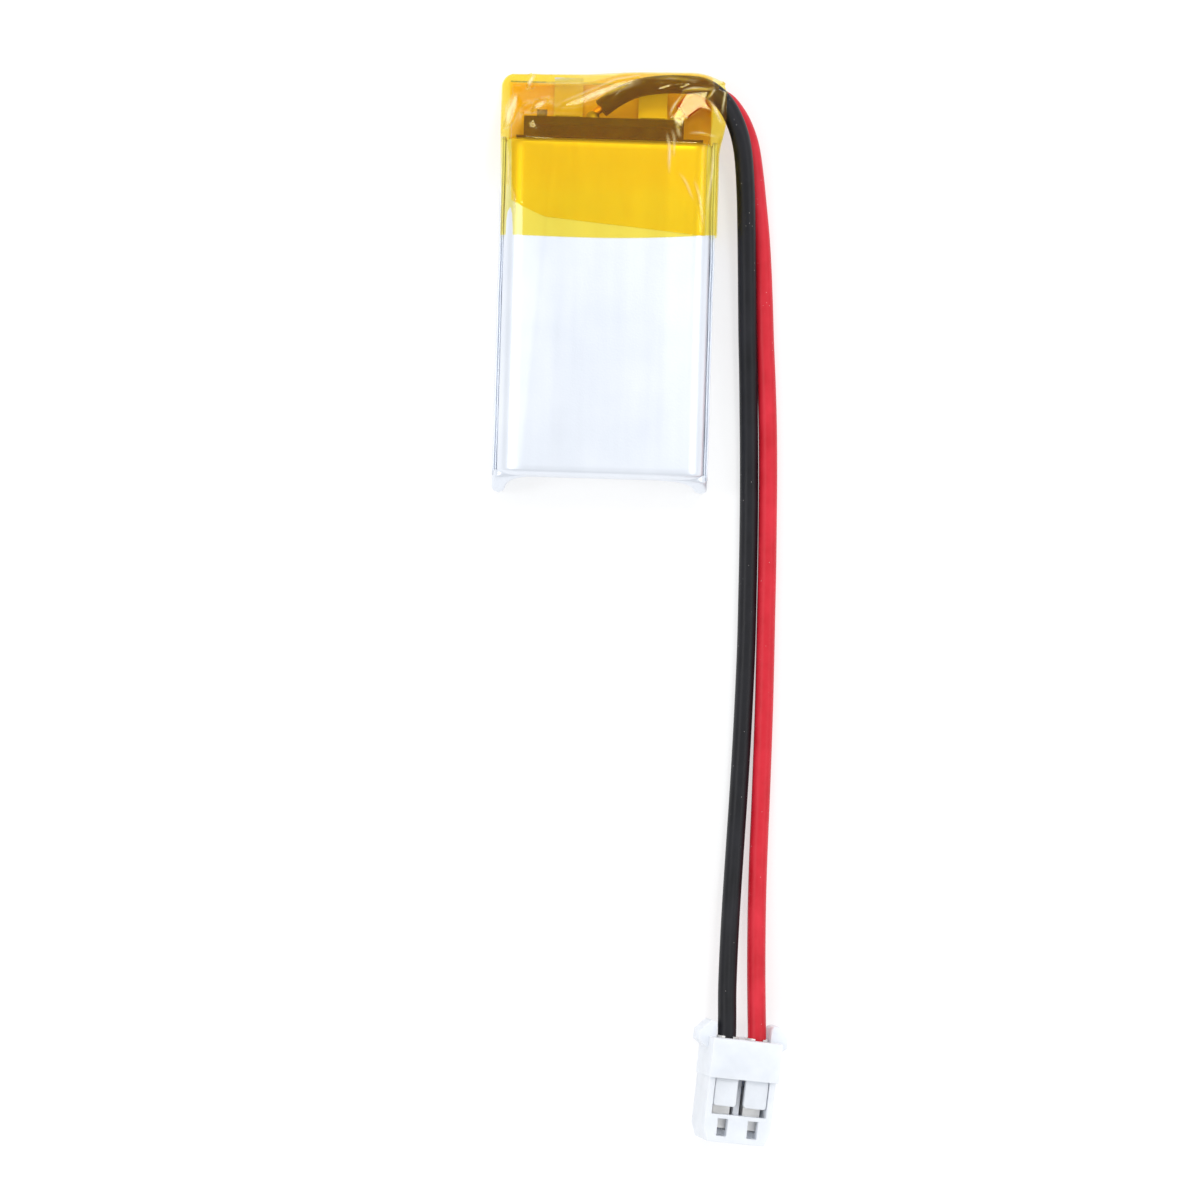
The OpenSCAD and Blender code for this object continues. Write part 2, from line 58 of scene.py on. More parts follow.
def box_mm(node):
    """Lowest and highest corners of a CAD node, in millimetres."""
    low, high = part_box(node)
    return [c / MM for c in low], [c / MM for c in high]


# %% [markdown]
# ## The camera
#
# The pack lies flat and is looked at from straight above, through a long lens, so that its
# edges stay parallel. The camera is turned a little, so the pack stands slightly askew.
# A camera with no rotation looks down -Z with +Y up, which is the view that is wanted.
# A ray may have to pass many layers of see-through tape, so that limit is raised as well.

# %% Camera
camera_data = bpy.data.cameras.new("camera")
camera_data.lens = 200
camera_data.sensor_width = 36
camera_data.clip_start = 0.01
camera = bpy.data.objects.new("camera", camera_data)
camera.location = (0.19 * MM, -15.34 * MM, 324.1 * MM)
camera.rotation_euler = (0, 0, math.radians(1.7))
bpy.context.scene.collection.objects.link(camera)
bpy.context.scene.camera = camera
bpy.context.scene.view_settings.view_transform = "Standard"
bpy.context.scene.cycles.transparent_max_bounces = 24
print("camera is", round(camera.location.z / MM), "mm above the table")

# %% [markdown]
# ## Routes of the two leads
#
# A lead is a line first and a tube second. Each route is a handful of listed points, from the solder pad on
# the board to the crimp inside the plug, joined by a smooth curve.
# The curve used is Catmull-Rom, because it passes through every point it is given.
# The plug lies rolled and turned, so its two wire holes are worked out from its own frame.

# %% The plug's own frame
PLUG_AT = (7.36, -36.3, 0.36)
PLUG_YAW = math.radians(5)
PLUG_ROLL = math.radians(12)
LEAD_D = 0.9


def plug_point(x, y, z):
    """A point of the plug's own frame in the pack's frame, in millimetres."""
    across = x * math.cos(PLUG_ROLL) + z * math.sin(PLUG_ROLL)
    up = z * math.cos(PLUG_ROLL) - x * math.sin(PLUG_ROLL)
    return (
        PLUG_AT[0] + across * math.cos(PLUG_YAW) + y * math.sin(PLUG_YAW),
        PLUG_AT[1] + y * math.cos(PLUG_YAW) - across * math.sin(PLUG_YAW),
        PLUG_AT[2] + up,
    )


print("wire hole at", [round(c, 2) for c in plug_point(0.75, 0, 1.5)], "mm")

# %% Route points
black_route = [
    (-0.45, 8.35, 2.7), (0.35, 8.95, 2.6), (1.3, 9.4, 2.45), (2.5, 9.62, 2.32), (3.6, 9.65, 2.25),
    (4.4, 9.58, 2.22), (5.05, 9.25, 2.2), (5.6, 8.7, 2.18), (6, 8, 2.12), (6.3, 7.2, 2),
    (6.5, 6.2, 1.82), (6.65, 4.6, 1.55), (6.75, 2.8, 1.28), (6.82, 1.2, 1.08), (6.88, -0.3, 0.97),
    (6.96, -2.3, 0.88), (7.06, -4.3, 0.74), (7.14, -6.2, 0.58), (7.22, -8.3, 0.48),
    (7.28, -10.5, 0.46), (7.32, -12.8, 0.46), (7.34, -15.1, 0.46), (7.35, -17.4, 0.46),
    (7.32, -19.7, 0.46), (7.27, -22, 0.47), (7.2, -24.3, 0.52), (7.12, -26.4, 0.64),
    (7.04, -28.4, 0.84), (6.97, -30.3, 1.12), (6.92, -32.2, 1.45), (6.9, -34, 1.75),
    (6.93, -35.3, 1.92), plug_point(-0.75, 0, 1.5), plug_point(-0.75, -0.85, 1.5),
]
red_route = [
    (3.45, 8.4, 1.4), (3.85, 8.78, 1.34), (4.35, 9.05, 1.28), (5, 9.16, 1.25),
    (5.6, 8.95, 1.23), (6.1, 8.4, 1.18), (6.5, 7.7, 1.1), (6.82, 6.8, 1), (7.06, 5.5, 0.85),
    (7.25, 4.1, 0.7), (7.44, 2.6, 0.58), (7.58, 1.1, 0.5), (7.7, -0.6, 0.46), (7.82, -2.6, 0.46),
    (7.96, -4.6, 0.46), (8.08, -6.7, 0.46), (8.16, -8.9, 0.46), (8.21, -11.2, 0.46),
    (8.25, -13.5, 0.46), (8.27, -15.8, 0.46), (8.29, -18.1, 0.46), (8.3, -20.4, 0.46),
    (8.29, -22.7, 0.46), (8.27, -25, 0.48), (8.24, -27.2, 0.56), (8.23, -29.3, 0.72),
    (8.25, -31.3, 0.97), (8.29, -33.2, 1.26), (8.35, -34.9, 1.52),
    plug_point(0.75, 0, 1.5), plug_point(0.75, -0.85, 1.5),
]
print("route points:", len(black_route), "and", len(red_route))

# %% Smooth lines through the points
def smooth_route(points, steps=10):
    """Catmull-Rom curve through the points, given and returned in millimetres."""
    p = [Vector(q) for q in points]
    p = [2 * p[0] - p[1]] + p + [2 * p[-1] - p[-2]]
    line = []
    for a, b, c, d in zip(p, p[1:], p[2:], p[3:]):
        for k in range(steps):
            t = k / steps
            cubic = (3 * b - a - 3 * c + d) * t ** 3
            line.append(0.5 * (2 * b + (c - a) * t + (2 * a - 5 * b + 4 * c - d) * t * t + cubic))
    line.append(p[-2])
    return line


def run_length(line):
    """Length of a line of points, in its own unit."""
    return sum((b - a).length for a, b in zip(line, line[1:]))


black_line = smooth_route(black_route)
red_line = smooth_route(red_route)
for colour, line_mm in (("black", black_line), ("red", red_line)):
    print(colour, "lead:", round(run_length(line_mm), 2), "mm")

# %% [markdown]
# ## Small helpers for node trees
#
# Finishes and Geometry Nodes trees are both graphs of nodes. These helpers keep the later
# cells short: put adds a node and sets its sockets, new_finish starts a finish, and the rest
# are the few nodes that nearly every finish needs.
# A socket is given either a plain value or the output of another node.

# %% Node helpers
def put(tree, kind, settings=None, **sockets):
    """Adds a node; sockets are named with _ for a space, or numbered as in s0, s1."""
    node = tree.nodes.new(kind)
    for key, value in (settings or {}).items():
        setattr(node, key, value)
    for key, value in sockets.items():
        numbered = key[0] == "s" and key[1:].isdigit()
        socket = node.inputs[int(key[1:]) if numbered else key.replace("_", " ")]
        if isinstance(value, bpy.types.NodeSocket):
            tree.links.new(value, socket)
        else:
            socket.default_value = value
    return node


def new_finish(name):
    """An empty finish: its tree, its output node and the Object coordinates."""
    finish = bpy.data.materials.new(name)
    finish.use_nodes = True
    tree = finish.node_tree
    tree.nodes.clear()
    output = tree.nodes.new("ShaderNodeOutputMaterial")
    place = tree.nodes.new("ShaderNodeTexCoord").outputs["Object"]
    return finish, tree, output, place


print("helpers: put, new_finish")

# %% Noise, ramps and relief
def grain(tree, place, per_mm, detail=2.0, stretch=(1, 1, 1)):
    """Noise with about per_mm features in a millimetre, drawn out by stretch."""
    scaled = put(tree, "ShaderNodeMapping", s0=place, Scale=[1000 * per_mm / s for s in stretch])
    return put(tree, "ShaderNodeTexNoise", Vector=scaled.outputs[0], Scale=1.0, Detail=detail).outputs[0]


def ramp(tree, value, stops):
    """Colour ramp from (position, colour) pairs."""
    node = put(tree, "ShaderNodeValToRGB", Fac=value)
    elements = node.color_ramp.elements
    while len(elements) < len(stops):
        elements.new(0.5)
    for element, (position, colour) in zip(elements, stops):
        element.position = position
        element.color = (*colour, 1)
    return node.outputs[0]


def span(tree, value, low, high, start=0.0, end=1.0):
    """Stretches a value from start..end to low..high."""
    return put(tree, "ShaderNodeMapRange", s0=value, s1=start, s2=end, s3=low, s4=high).outputs[0]


def relief(tree, height, depth_mm, strength=1.0, under=None):
    """Bump of a given depth; under is a bump that it lies on."""
    node = put(tree, "ShaderNodeBump", Height=height, Distance=depth_mm * MM, Strength=strength)
    if under is not None:
        tree.links.new(under, node.inputs["Normal"])
    return node.outputs[0]


print("helpers: grain, ramp, span, relief")

# %% Sums and mixes
def calculate(tree, operation, first, second=0.5):
    """Result of one Math node."""
    return put(tree, "ShaderNodeMath", {"operation": operation}, s0=first, s1=second).outputs[0]


def mix_colours(tree, share, under, over):
    """A share of one colour over another."""
    return put(tree, "ShaderNodeMix", {"data_type": "RGBA"}, s0=share, s6=under, s7=over).outputs[2]


def mix_shaders(tree, share, under, over):
    """A share of one shader over another."""
    return put(tree, "ShaderNodeMixShader", s0=share, s1=under, s2=over).outputs[0]


print("helpers: calculate, mix_colours, mix_shaders")

# %% [markdown]
# ## The insulation
#
# The leads have soft PVC over fine copper strands. Extruded PVC is satin, with faint lines
# along its length where the die dragged, a little dust, and here and there a rub mark.
# The pattern has to follow the lead round its bends and close on itself round the tube.
# So the tube carries an attribute with three numbers: where the point is round the lead, as
# a pair, and how far along it is. Noise that reads those three has no seam.

# %% Insulation finish
def insulation_finish(name, deep, pale, rub):
    """Satin plastic with drag lines, soft lumps, rub marks and dust."""
    finish, tree, output, _ = new_finish(name)
    wrap = put(tree, "ShaderNodeAttribute", {"attribute_name": "round_and_along"}).outputs["Vector"]
    drag_lines = grain(tree, wrap, 7, 2, (1, 1, 18))
    lumps = grain(tree, wrap, 1.1, 3, (1, 1, 1.6))
    body = ramp(tree, lumps, [(0.3, deep), (0.72, pale)])
    rubbed = span(tree, grain(tree, wrap, 0.5, 4), 0.0, 0.5, start=0.62, end=0.8)
    worn = mix_colours(tree, rubbed, body, (*rub, 1))
    fine_place = put(tree, "ShaderNodeMapping", s0=wrap, Scale=[2400] * 3).outputs[0]
    specks = put(tree, "ShaderNodeTexVoronoi", Scale=1.0, Vector=fine_place).outputs["Distance"]
    dust = span(tree, specks, 0.0, 0.4, start=0.055, end=0.03)
    dusty = mix_colours(tree, dust, worn, (0.8, 0.75, 0.72, 1))
    dents = relief(tree, lumps, 0.02)
    skin = put(tree, "ShaderNodeBsdfPrincipled", Base_Color=dusty, IOR=1.34,
               Roughness=span(tree, lumps, 0.34, 0.5), Normal=relief(tree, drag_lines, 0.004, 1, dents))
    tree.links.new(skin.outputs[0], output.inputs[0])
    return finish


black_insulation = insulation_finish(
    "black_insulation", deep=(0.005, 0.005, 0.007), pale=(0.012, 0.012, 0.016), rub=(0.03, 0.03, 0.034))
red_insulation = insulation_finish(
    "red_insulation", deep=(0.56, 0.010, 0.022), pale=(0.70, 0.022, 0.042), rub=(0.36, 0.006, 0.016))
print("insulation:", black_insulation.name, red_insulation.name)

# %% [markdown]
# ## The leads
#
# A tube along a line is a job for Geometry Nodes: the line is made a curve, a circle is swept
# along it, and each point of the result stores its place round and along the lead.
# The inputs of the tree are the lead's diameter, the number of sides and its finish.
# The result is then turned into a plain mesh, so nothing is left to work out later.

# %% Inputs of the tree that sweeps a lead
def group_input(tree, name, kind, value=None):
    """Adds a named input to a tree and gives the identifier that a modifier knows it by."""
    socket = tree.interface.new_socket(name, in_out="INPUT", socket_type=kind)
    if value is not None:
        socket.default_value = value
    return socket.identifier


LEAD_SIDES = 24
lead_tree = bpy.data.node_groups.new("lead_sweep", "GeometryNodeTree")
group_input(lead_tree, "Line", "NodeSocketGeometry")
diameter_id = group_input(lead_tree, "Diameter", "NodeSocketFloat", LEAD_D * MM)
sides_id = group_input(lead_tree, "Sides", "NodeSocketInt", LEAD_SIDES)
finish_id = group_input(lead_tree, "Finish", "NodeSocketMaterial")
lead_tree.interface.new_socket("Lead", in_out="OUTPUT", socket_type="NodeSocketGeometry")
given = lead_tree.nodes.new("NodeGroupInput")
print("inputs:", [socket.name for socket in given.outputs if socket.name])

# %% Sweep the circle along the line
line = put(lead_tree, "GeometryNodeMeshToCurve", Mesh=given.outputs["Line"])
along = put(lead_tree, "GeometryNodeSplineParameter")
kept_along = lead_tree.nodes.new("GeometryNodeCaptureAttribute")
kept_along.capture_items.new("FLOAT", "along")
lead_tree.links.new(line.outputs[0], kept_along.inputs["Geometry"])
lead_tree.links.new(along.outputs["Length"], kept_along.inputs["along"])
radius = calculate(lead_tree, "MULTIPLY", given.outputs["Diameter"], 0.5)
circle = put(lead_tree, "GeometryNodeCurvePrimitiveCircle", Resolution=given.outputs["Sides"], Radius=radius)
kept_turn = lead_tree.nodes.new("GeometryNodeCaptureAttribute")
kept_turn.capture_items.new("FLOAT", "turn")
lead_tree.links.new(circle.outputs[0], kept_turn.inputs["Geometry"])
lead_tree.links.new(along.outputs["Factor"], kept_turn.inputs["turn"])
tube = put(lead_tree, "GeometryNodeCurveToMesh", Curve=kept_along.outputs[0],
           Profile_Curve=kept_turn.outputs[0], Fill_Caps=True)
print("sweep:", len(lead_tree.nodes), "nodes so far")

# %% Store the place round and along
angle = calculate(lead_tree, "MULTIPLY", kept_turn.outputs["turn"], math.tau)
beside = [calculate(lead_tree, "MULTIPLY", calculate(lead_tree, way, angle), radius)
          for way in ("COSINE", "SINE")]
wrap = put(lead_tree, "ShaderNodeCombineXYZ", X=beside[0], Y=beside[1], Z=kept_along.outputs["along"])
stored = put(lead_tree, "GeometryNodeStoreNamedAttribute",
             {"data_type": "FLOAT_VECTOR", "domain": "POINT"},
             Geometry=tube.outputs[0], Name="round_and_along", Value=wrap.outputs[0])
smooth = put(lead_tree, "GeometryNodeSetShadeSmooth", Geometry=stored.outputs[0])
whole = put(lead_tree, "GeometryNodeRealizeInstances", Geometry=smooth.outputs[0])
painted = put(lead_tree, "GeometryNodeSetMaterial", Geometry=whole.outputs[0],
              Material=given.outputs["Finish"])
result = lead_tree.nodes.new("NodeGroupOutput")
lead_tree.links.new(painted.outputs[0], result.inputs[0])
print("lead tree:", len(lead_tree.nodes), "nodes")

# %% Sweep both leads
def new_piece(name, mesh):
    """A new object at the origin, in the scene."""
    piece = bpy.data.objects.new(name, mesh)
    bpy.context.scene.collection.objects.link(piece)
    return piece


def settle(piece, tree, values):
    """Runs a tree on a piece with the given inputs and keeps the result as its plain mesh."""
    modifier = piece.modifiers.new("tree", "NODES")
    modifier.node_group = tree
    for identifier, value in values.items():
        modifier[identifier] = value
    shape = piece.evaluated_get(bpy.context.evaluated_depsgraph_get())
    mesh = bpy.data.meshes.new_from_object(shape)
    piece.modifiers.clear()
    piece.data = mesh
    return piece


def make_lead(name, line_mm, finish):
    """Sweeps one lead along its line, given in millimetres."""
    mesh = bpy.data.meshes.new(name)
    steps = [(i, i + 1) for i in range(len(line_mm) - 1)]
    mesh.from_pydata([tuple(p * MM) for p in line_mm], steps, [])
    return settle(new_piece(name, mesh), lead_tree,
                  {diameter_id: LEAD_D * MM, sides_id: LEAD_SIDES, finish_id: finish})


lead_black = make_lead("black_lead", black_line, black_insulation)
lead_red = make_lead("red_lead", red_line, red_insulation)
for lead in (lead_black, lead_red):
    print(lead.name, len(lead.data.polygons), "faces")

# %% [markdown]
# ## Meshes from rows of points
#
# Most of the pack is sheet: laminate and tape. A sheet is a grid of points, so one helper
# joins rows of points with quads. Rows may close on themselves, as the tape does when it goes
# round the pack, and the two ends may be capped.

# %% Grid helper
def loft(name, rows, closed=True, caps=False, skip=None):
    """Quads between rows of points in millimetres. skip(centre) leaves a face out."""
    count = len(rows[0])
    points = [Vector(p) for row in rows for p in row]
    faces = []
    for j in range(len(rows) - 1):
        for i in range(count if closed else count - 1):
            a, b = j * count + i, j * count + (i + 1) % count
            face = (a, b, b + count, a + count)
            if skip is None or not skip(sum((points[k] for k in face), Vector()) / 4):
                faces.append(face)
    if caps:
        faces.append(tuple(range(count - 1, -1, -1)))
        faces.append(tuple(range(len(points) - count, len(points))))
    mesh = bpy.data.meshes.new(name)
    mesh.from_pydata([tuple(p * MM) for p in points], [], faces)
    return mesh


def tidy_mesh(mesh, weld_mm=0.0005, turn_out=True):
    """Merges doubled points, turns faces outwards and shades the mesh smooth."""
    work = bmesh.new()
    work.from_mesh(mesh)
    bmesh.ops.remove_doubles(work, verts=work.verts, dist=weld_mm * MM)
    if turn_out:
        bmesh.ops.recalc_face_normals(work, faces=work.faces)
    work.to_mesh(mesh)
    work.free()
    mesh.shade_smooth()
    return mesh


def ease(t):
    """0 to 1 with a soft start and end."""
    t = np.clip(t, 0, 1)
    return t * t * (3 - 2 * t)


print("helpers: loft, tidy_mesh, ease")

# %% [markdown]
# ## The pouch laminate
#
# The pouch is aluminium foil between nylon and polypropylene, drawn over the winding like a
# lid. Its face is almost flat: it bows out a little and a faint ridge runs down its left
# side, where the drawn edge begins. Both show only in how they turn the light.
# One formula gives the height of the face, and the tape later uses the same one, so that
# the tape clings to the pouch everywhere.

# %% Height of the pouch's face
cup_low, cup_high = box_mm("pouch_cup")
cover_low, cover_high = box_mm("pouch_cover")
FOOT_Y = cup_low[1]
CUP_END = 6.85
CUP_SIDE = 4.97
FACE_Z = cup_high[2]


def face_drop(x, y):
    """How far the pouch's face lies below its highest level."""
    bow = 0.06 * (x / CUP_SIDE) ** 2 + 0.05 * ((y + 1.3) / 8.2) ** 2
    ridge_x = -3.0 + 0.07 * (y - 2)
    left = 0.13 * np.clip(ridge_x - x, 0, 3)
    hollow = 0.02 * np.exp(-((x + 2.4) / 0.5) ** 2) + 0.012 * np.exp(-((x - 1.9) / 0.4) ** 2)
    right = 0.09 * np.clip(x - 2.9, 0, 3)
    return bow + left + hollow + right


print("face drops", round(float(face_drop(-4.5, 0)), 3), "mm at its left edge")

# %% Stations along a rounded box
def clustered(low, high, radius, plain):
    """Stations from low to high: close together over the rounded ends, even between."""
    near = [radius * (1 - math.cos(math.pi / 2 * k / 8)) for k in range(8)]
    middle = np.linspace(low + radius, high - radius, plain)
    return [low + d for d in near] + list(middle) + [high - d for d in reversed(near)]


print("stations across the cup:", len(clustered(-CUP_SIDE, CUP_SIDE, 0.9, 60)))

# %% Cup of the pouch
QUAD = ((0, 0), (1, 0), (1, 1), (0, 1))
STRAIGHT_BELOW = 2.6


def drawn_cup(name, low, high, radii, rim_z):
    """Open box with rounded edges: a face, four walls and no floor."""
    xs = clustered(low[0], high[0], radii[0], 60)
    ys = clustered(low[1], high[1], radii[1], 70)
    zs = list(np.linspace(rim_z, high[2] - radii[2], 8))
    zs += [high[2] - radii[2] * (1 - math.sin(math.pi / 2 * k / 8)) for k in range(1, 9)]
    found, points, faces = {}, [], []

    def corner(x, y, z):
        """Number of the point that this place of the sharp box is rounded to."""
        key = (round(x, 5), round(y, 5), round(z, 5))
        if key not in found:
            c = (min(max(x, low[0] + radii[0]), high[0] - radii[0]),
                 min(max(y, low[1] + radii[1]), high[1] - radii[1]), min(z, high[2] - radii[2]))
            d = [(x - c[0]) / radii[0], (y - c[1]) / radii[1], (z - c[2]) / radii[2]]
            size = max(math.sqrt(sum(v * v for v in d)), 1e-9)
            p = [c[i] + radii[i] * d[i] / size for i in range(3)]
            share = min(max((p[2] - STRAIGHT_BELOW) / (high[2] - STRAIGHT_BELOW), 0), 1)
            p[2] -= float(face_drop(p[0], p[1])) * share
            found[key] = len(points)
            points.append([v * MM for v in p])
        return found[key]

    for i in range(len(xs) - 1):
        for j in range(len(ys) - 1):
            faces.append([corner(xs[i + a], ys[j + b], high[2]) for a, b in QUAD])
    for k in range(len(zs) - 1):
        for i in range(len(xs) - 1):
            for y in (ys[0], ys[-1]):
                faces.append([corner(xs[i + a], y, zs[k + b]) for a, b in QUAD])
        for j in range(len(ys) - 1):
            for x in (xs[0], xs[-1]):
                faces.append([corner(x, ys[j + a], zs[k + b]) for a, b in QUAD])
    mesh = bpy.data.meshes.new(name)
    mesh.from_pydata(points, [], faces)
    return mesh


cup_mesh = drawn_cup("cup_skin", low=(-CUP_SIDE, FOOT_Y, 0), high=(CUP_SIDE, CUP_END, FACE_Z),
                     radii=(0.9, 0.3, 0.9), rim_z=cup_low[2])
print("cup:", len(cup_mesh.polygons), "faces")

# %% [markdown]
# ## Seams, back sheet and foot corners
#
# The two halves of the laminate are welded along both sides, and the welds are folded up
# against the cell. A fold like that is never quite straight, so its height wanders a little.
# At the foot the folded corners stand past the pouch like two small lobes, and the foot
# runs into them in a curve.
# The seam is one thin profile drawn along the pack, and each lobe is a loft of rounded
# slices that get lower and narrower towards the tip.

# %% Folded seams and back sheet
def wander(y, phase, size):
    """Smooth noise along the pack, between -size and size."""
    return size * noise.noise(Vector((phase, y * 0.45, 0)))


def channel(y, outer, low, top, thickness, radius):
    """Section of a sheet whose two sides are folded up, as one closed ring."""
    left_top = top + wander(y, 3.1, 0.1)
    right_top = top + wander(y, 7.7, 0.1)
    sway = wander(y, 5.5, 0.03)
    arc = [math.pi / 2 * k / 5 for k in range(6)]
    inner, r_in = outer - thickness, radius - thickness
    outside = [(-outer + radius * (1 - math.cos(a)), low + radius * (1 - math.sin(a))) for a in arc]
    inside = [(-inner + r_in * (1 - math.cos(a)), low + thickness + r_in * (1 - math.sin(a)))
              for a in arc]
    lip = thickness / 2
    ring = [(-outer + sway, left_top - lip)] + outside + [(-x, z) for x, z in reversed(outside)]
    ring += [(outer + sway, right_top - lip), (outer + sway - lip, right_top)]
    ring += [(inner + sway, right_top - lip)]
    ring += [(-x, z) for x, z in inside] + list(reversed(inside))
    ring += [(-inner + sway, left_top - lip), (-outer + sway + lip, left_top)]
    return [(x, y, z) for x, z in ring]


SEAM_X, SEAM_TOP = cover_high[0], cover_high[2]
NEST = 0.115
stations = np.linspace(FOOT_Y, CUP_END, 60)
cover_rows = [channel(y, SEAM_X, cover_low[2], SEAM_TOP, 0.11, 0.3) for y in stations]
cover_mesh = loft("cover_skin", cover_rows, caps=True)
flange_rows = [channel(y, SEAM_X - NEST, cover_low[2] + NEST, SEAM_TOP - 0.03, 0.1, 0.22)
               for y in stations]
flange_mesh = loft("inner_seam", flange_rows, caps=True)
print("seams:", len(cover_mesh.polygons) + len(flange_mesh.polygons), "faces")

# %% Foot corners
LOBE_ROOT = 0.25
LOBE_TIP_X = 4.6


def lobe(side, length, spread):
    """One folded corner: rounded slices, spread out along the foot and narrow at the tip."""
    low = cover_low[2] + 0.02
    rows = []
    for k in range(15):
        t = k / 14
        y = FOOT_Y + LOBE_ROOT - (length + LOBE_ROOT) * t
        back = max(0.0, (FOOT_Y - y) / length)
        tip = max(0.0, (back - 0.7) / 0.3)
        closing = 1 - math.sqrt(max(0.0, 1 - tip * tip))
        inner_x = LOBE_TIP_X - spread + spread * max(0.0, 1 - (1 - back) ** 3) ** 0.5 + 0.28 * closing
        outer_x = SEAM_X - 0.252 * closing
        top = 3.05 - 1.25 * back ** 1.3 - 0.5 * closing
        mid_x, half_x = (inner_x + outer_x) / 2, (outer_x - inner_x) / 2
        mid_z, half_z = (low + top) / 2, (top - low) / 2
        row = []
        for n in range(28):
            c, s = math.cos(math.tau * n / 28), math.sin(math.tau * n / 28)
            row.append((side * (mid_x + half_x * math.copysign(abs(c) ** 0.45, c)), y,
                        mid_z + half_z * math.copysign(abs(s) ** 0.4, s)))
        rows.append(row)
    return loft("lobe", rows, caps=True)


print("lobes lie below", round(FOOT_Y + LOBE_ROOT, 2), "mm")

# %% Join the back sheet and its lobes
def joined(name, meshes):
    """One mesh out of several, each tidied first."""
    work = bmesh.new()
    for mesh in meshes:
        work.from_mesh(tidy_mesh(mesh))
    whole = bpy.data.meshes.new(name)
    work.to_mesh(whole)
    work.free()
    whole.shade_smooth()
    return whole


lobes = [lobe(-1, length=0.8, spread=1.4), lobe(1, length=0.6, spread=2.1)]
cover_skin = new_piece("cover_skin", joined("cover_skin", [cover_mesh] + lobes))
print("cover:", len(cover_skin.data.polygons), "faces")

# %% Terrace and the whole cup
def slab(low, high):
    """Closed block between two corners in millimetres."""
    ring = ((low[0], low[2]), (high[0], low[2]), (high[0], high[2]), (low[0], high[2]))
    return loft("slab", [[(x, y, z) for x, z in ring] for y in (low[1], high[1])], caps=True)


terrace_half, terrace_low = SEAM_X - 0.3, cover_low[2]
terrace = slab((-terrace_half, CUP_END - 0.1, terrace_low), (terrace_half, cover_high[1], terrace_low + 0.2))
cup_skin = new_piece("cup_skin", joined("cup_skin", [cup_mesh, flange_mesh, terrace]))
print("cup skin:", len(cup_skin.data.polygons), "faces")

# %% [markdown]
# ## Aluminium laminate
#
# The foil is satin metal under clear nylon. Seen close, the nylon has a fine sparkle and the
# metal a very slight lengthwise rolling grain. So the base is metallic and fairly rough,
# a weak clear coat lies over it, and two noises feed the bump: one as fine as dust, one
# drawn out along the pack.

# %% Laminate finish
def laminate_finish():
    """Satin foil under a thin clear skin."""
    finish, tree, output, place = new_finish("pouch_laminate")
    sparkle = grain(tree, place, 9, 2)
    rolled = grain(tree, place, 2.2, 3, (1, 14, 1))
    cloud = grain(tree, place, 0.25, 3)
    tone = ramp(tree, cloud, [(0.3, (0.77, 0.81, 0.88)), (0.7, (0.84, 0.875, 0.935))])
    fine = relief(tree, sparkle, 0.004, 0.8)
    skin = put(tree, "ShaderNodeBsdfPrincipled", Base_Color=tone, Metallic=0.8,
               Roughness=span(tree, rolled, 0.34, 0.44), Coat_Weight=0.15, Coat_Roughness=0.3,
               Normal=relief(tree, rolled, 0.003, 0.6, fine))
    tree.links.new(skin.outputs[0], output.inputs[0])
    return finish


pouch_laminate = laminate_finish()
for piece in (cup_skin, cover_skin):
    piece.data.materials.clear()
    piece.data.materials.append(pouch_laminate)
print("laminate on", cup_skin.name, "and", cover_skin.name)

# %% [markdown]
# ## What the tape is stretched over
#
# Past the pouch's end the tape has nothing flat to lie on. It is held up by the edge of the
# little board, by solder and by the leads, and sags between them like a tent.
# The places of those supports come from the CAD nodes and from the routes of the leads.
# A support is stored as a height: nothing of the tape may lie lower than it.

# %% Supports under the tape
TAPE_TOP = box_mm("tape_outer")[1][2]
FILM = 0.05
NO_SUPPORT = -9.0
SOLDER_DOME, SOLDER_RADIUS = (-0.85, 7.87, 2.8), 0.36


def block_support(x, y, node, spread=0.06):
    """Top of a CAD node's box, as a support under the tape."""
    low, high = box_mm(node)
    over = (x > low[0] - spread) & (x < high[0] + spread)
    over &= (y > low[1] - spread) & (y < high[1] + spread)
    return np.where(over, high[2], NO_SUPPORT)


def ball_support(x, y, centre, radius):
    """Upper side of a ball, as a support under the tape."""
    rise = radius ** 2 - (x - centre[0]) ** 2 - (y - centre[1]) ** 2
    return np.where(rise > 0, centre[2] + np.sqrt(np.maximum(rise, 0)), NO_SUPPORT)


def supports(x, y):
    """Lowest level that the tape's inner side may have at each place."""
    height = np.maximum(block_support(x, y, "circuit_board"), block_support(x, y, "terrace_insulator"))
    for line_mm in (black_line, red_line):
        for p in line_mm:
            if p.y > 5.0:
                height = np.maximum(height, ball_support(x, y, p, LEAD_D / 2))
    return np.maximum(height, ball_support(x, y, SOLDER_DOME, SOLDER_RADIUS))


print("board edge at", round(box_mm("circuit_board")[1][2], 2), "mm")

# %% [markdown]
# ## Stretching the tape
#
# A stretched film takes the smoothest shape that clears its supports. That shape can be
# found by relaxation: each point moves to the mean of its neighbours, is pushed back up if
# it sank into a support, and this is repeated until nothing moves.
# A cloth simulation would do the same more slowly, and this way gives the same film each run.
# The grid runs across the pack in one direction and along it in the other, and its borders
# follow the cut edges of the tape, which aren't quite straight.

# %% Plan of the tape
ACROSS, ALONG = 161, 130


def left_side(v):
    """Left border of the tape; v runs from its lower edge, 0, to its head, 1."""
    corner = np.clip((v - 0.915) / 0.085, 0, 1)
    return -5.15 - 0.17 * ease(v * 1.1) + 0.62 * (1 - np.sqrt(1 - 0.98 * corner ** 2))


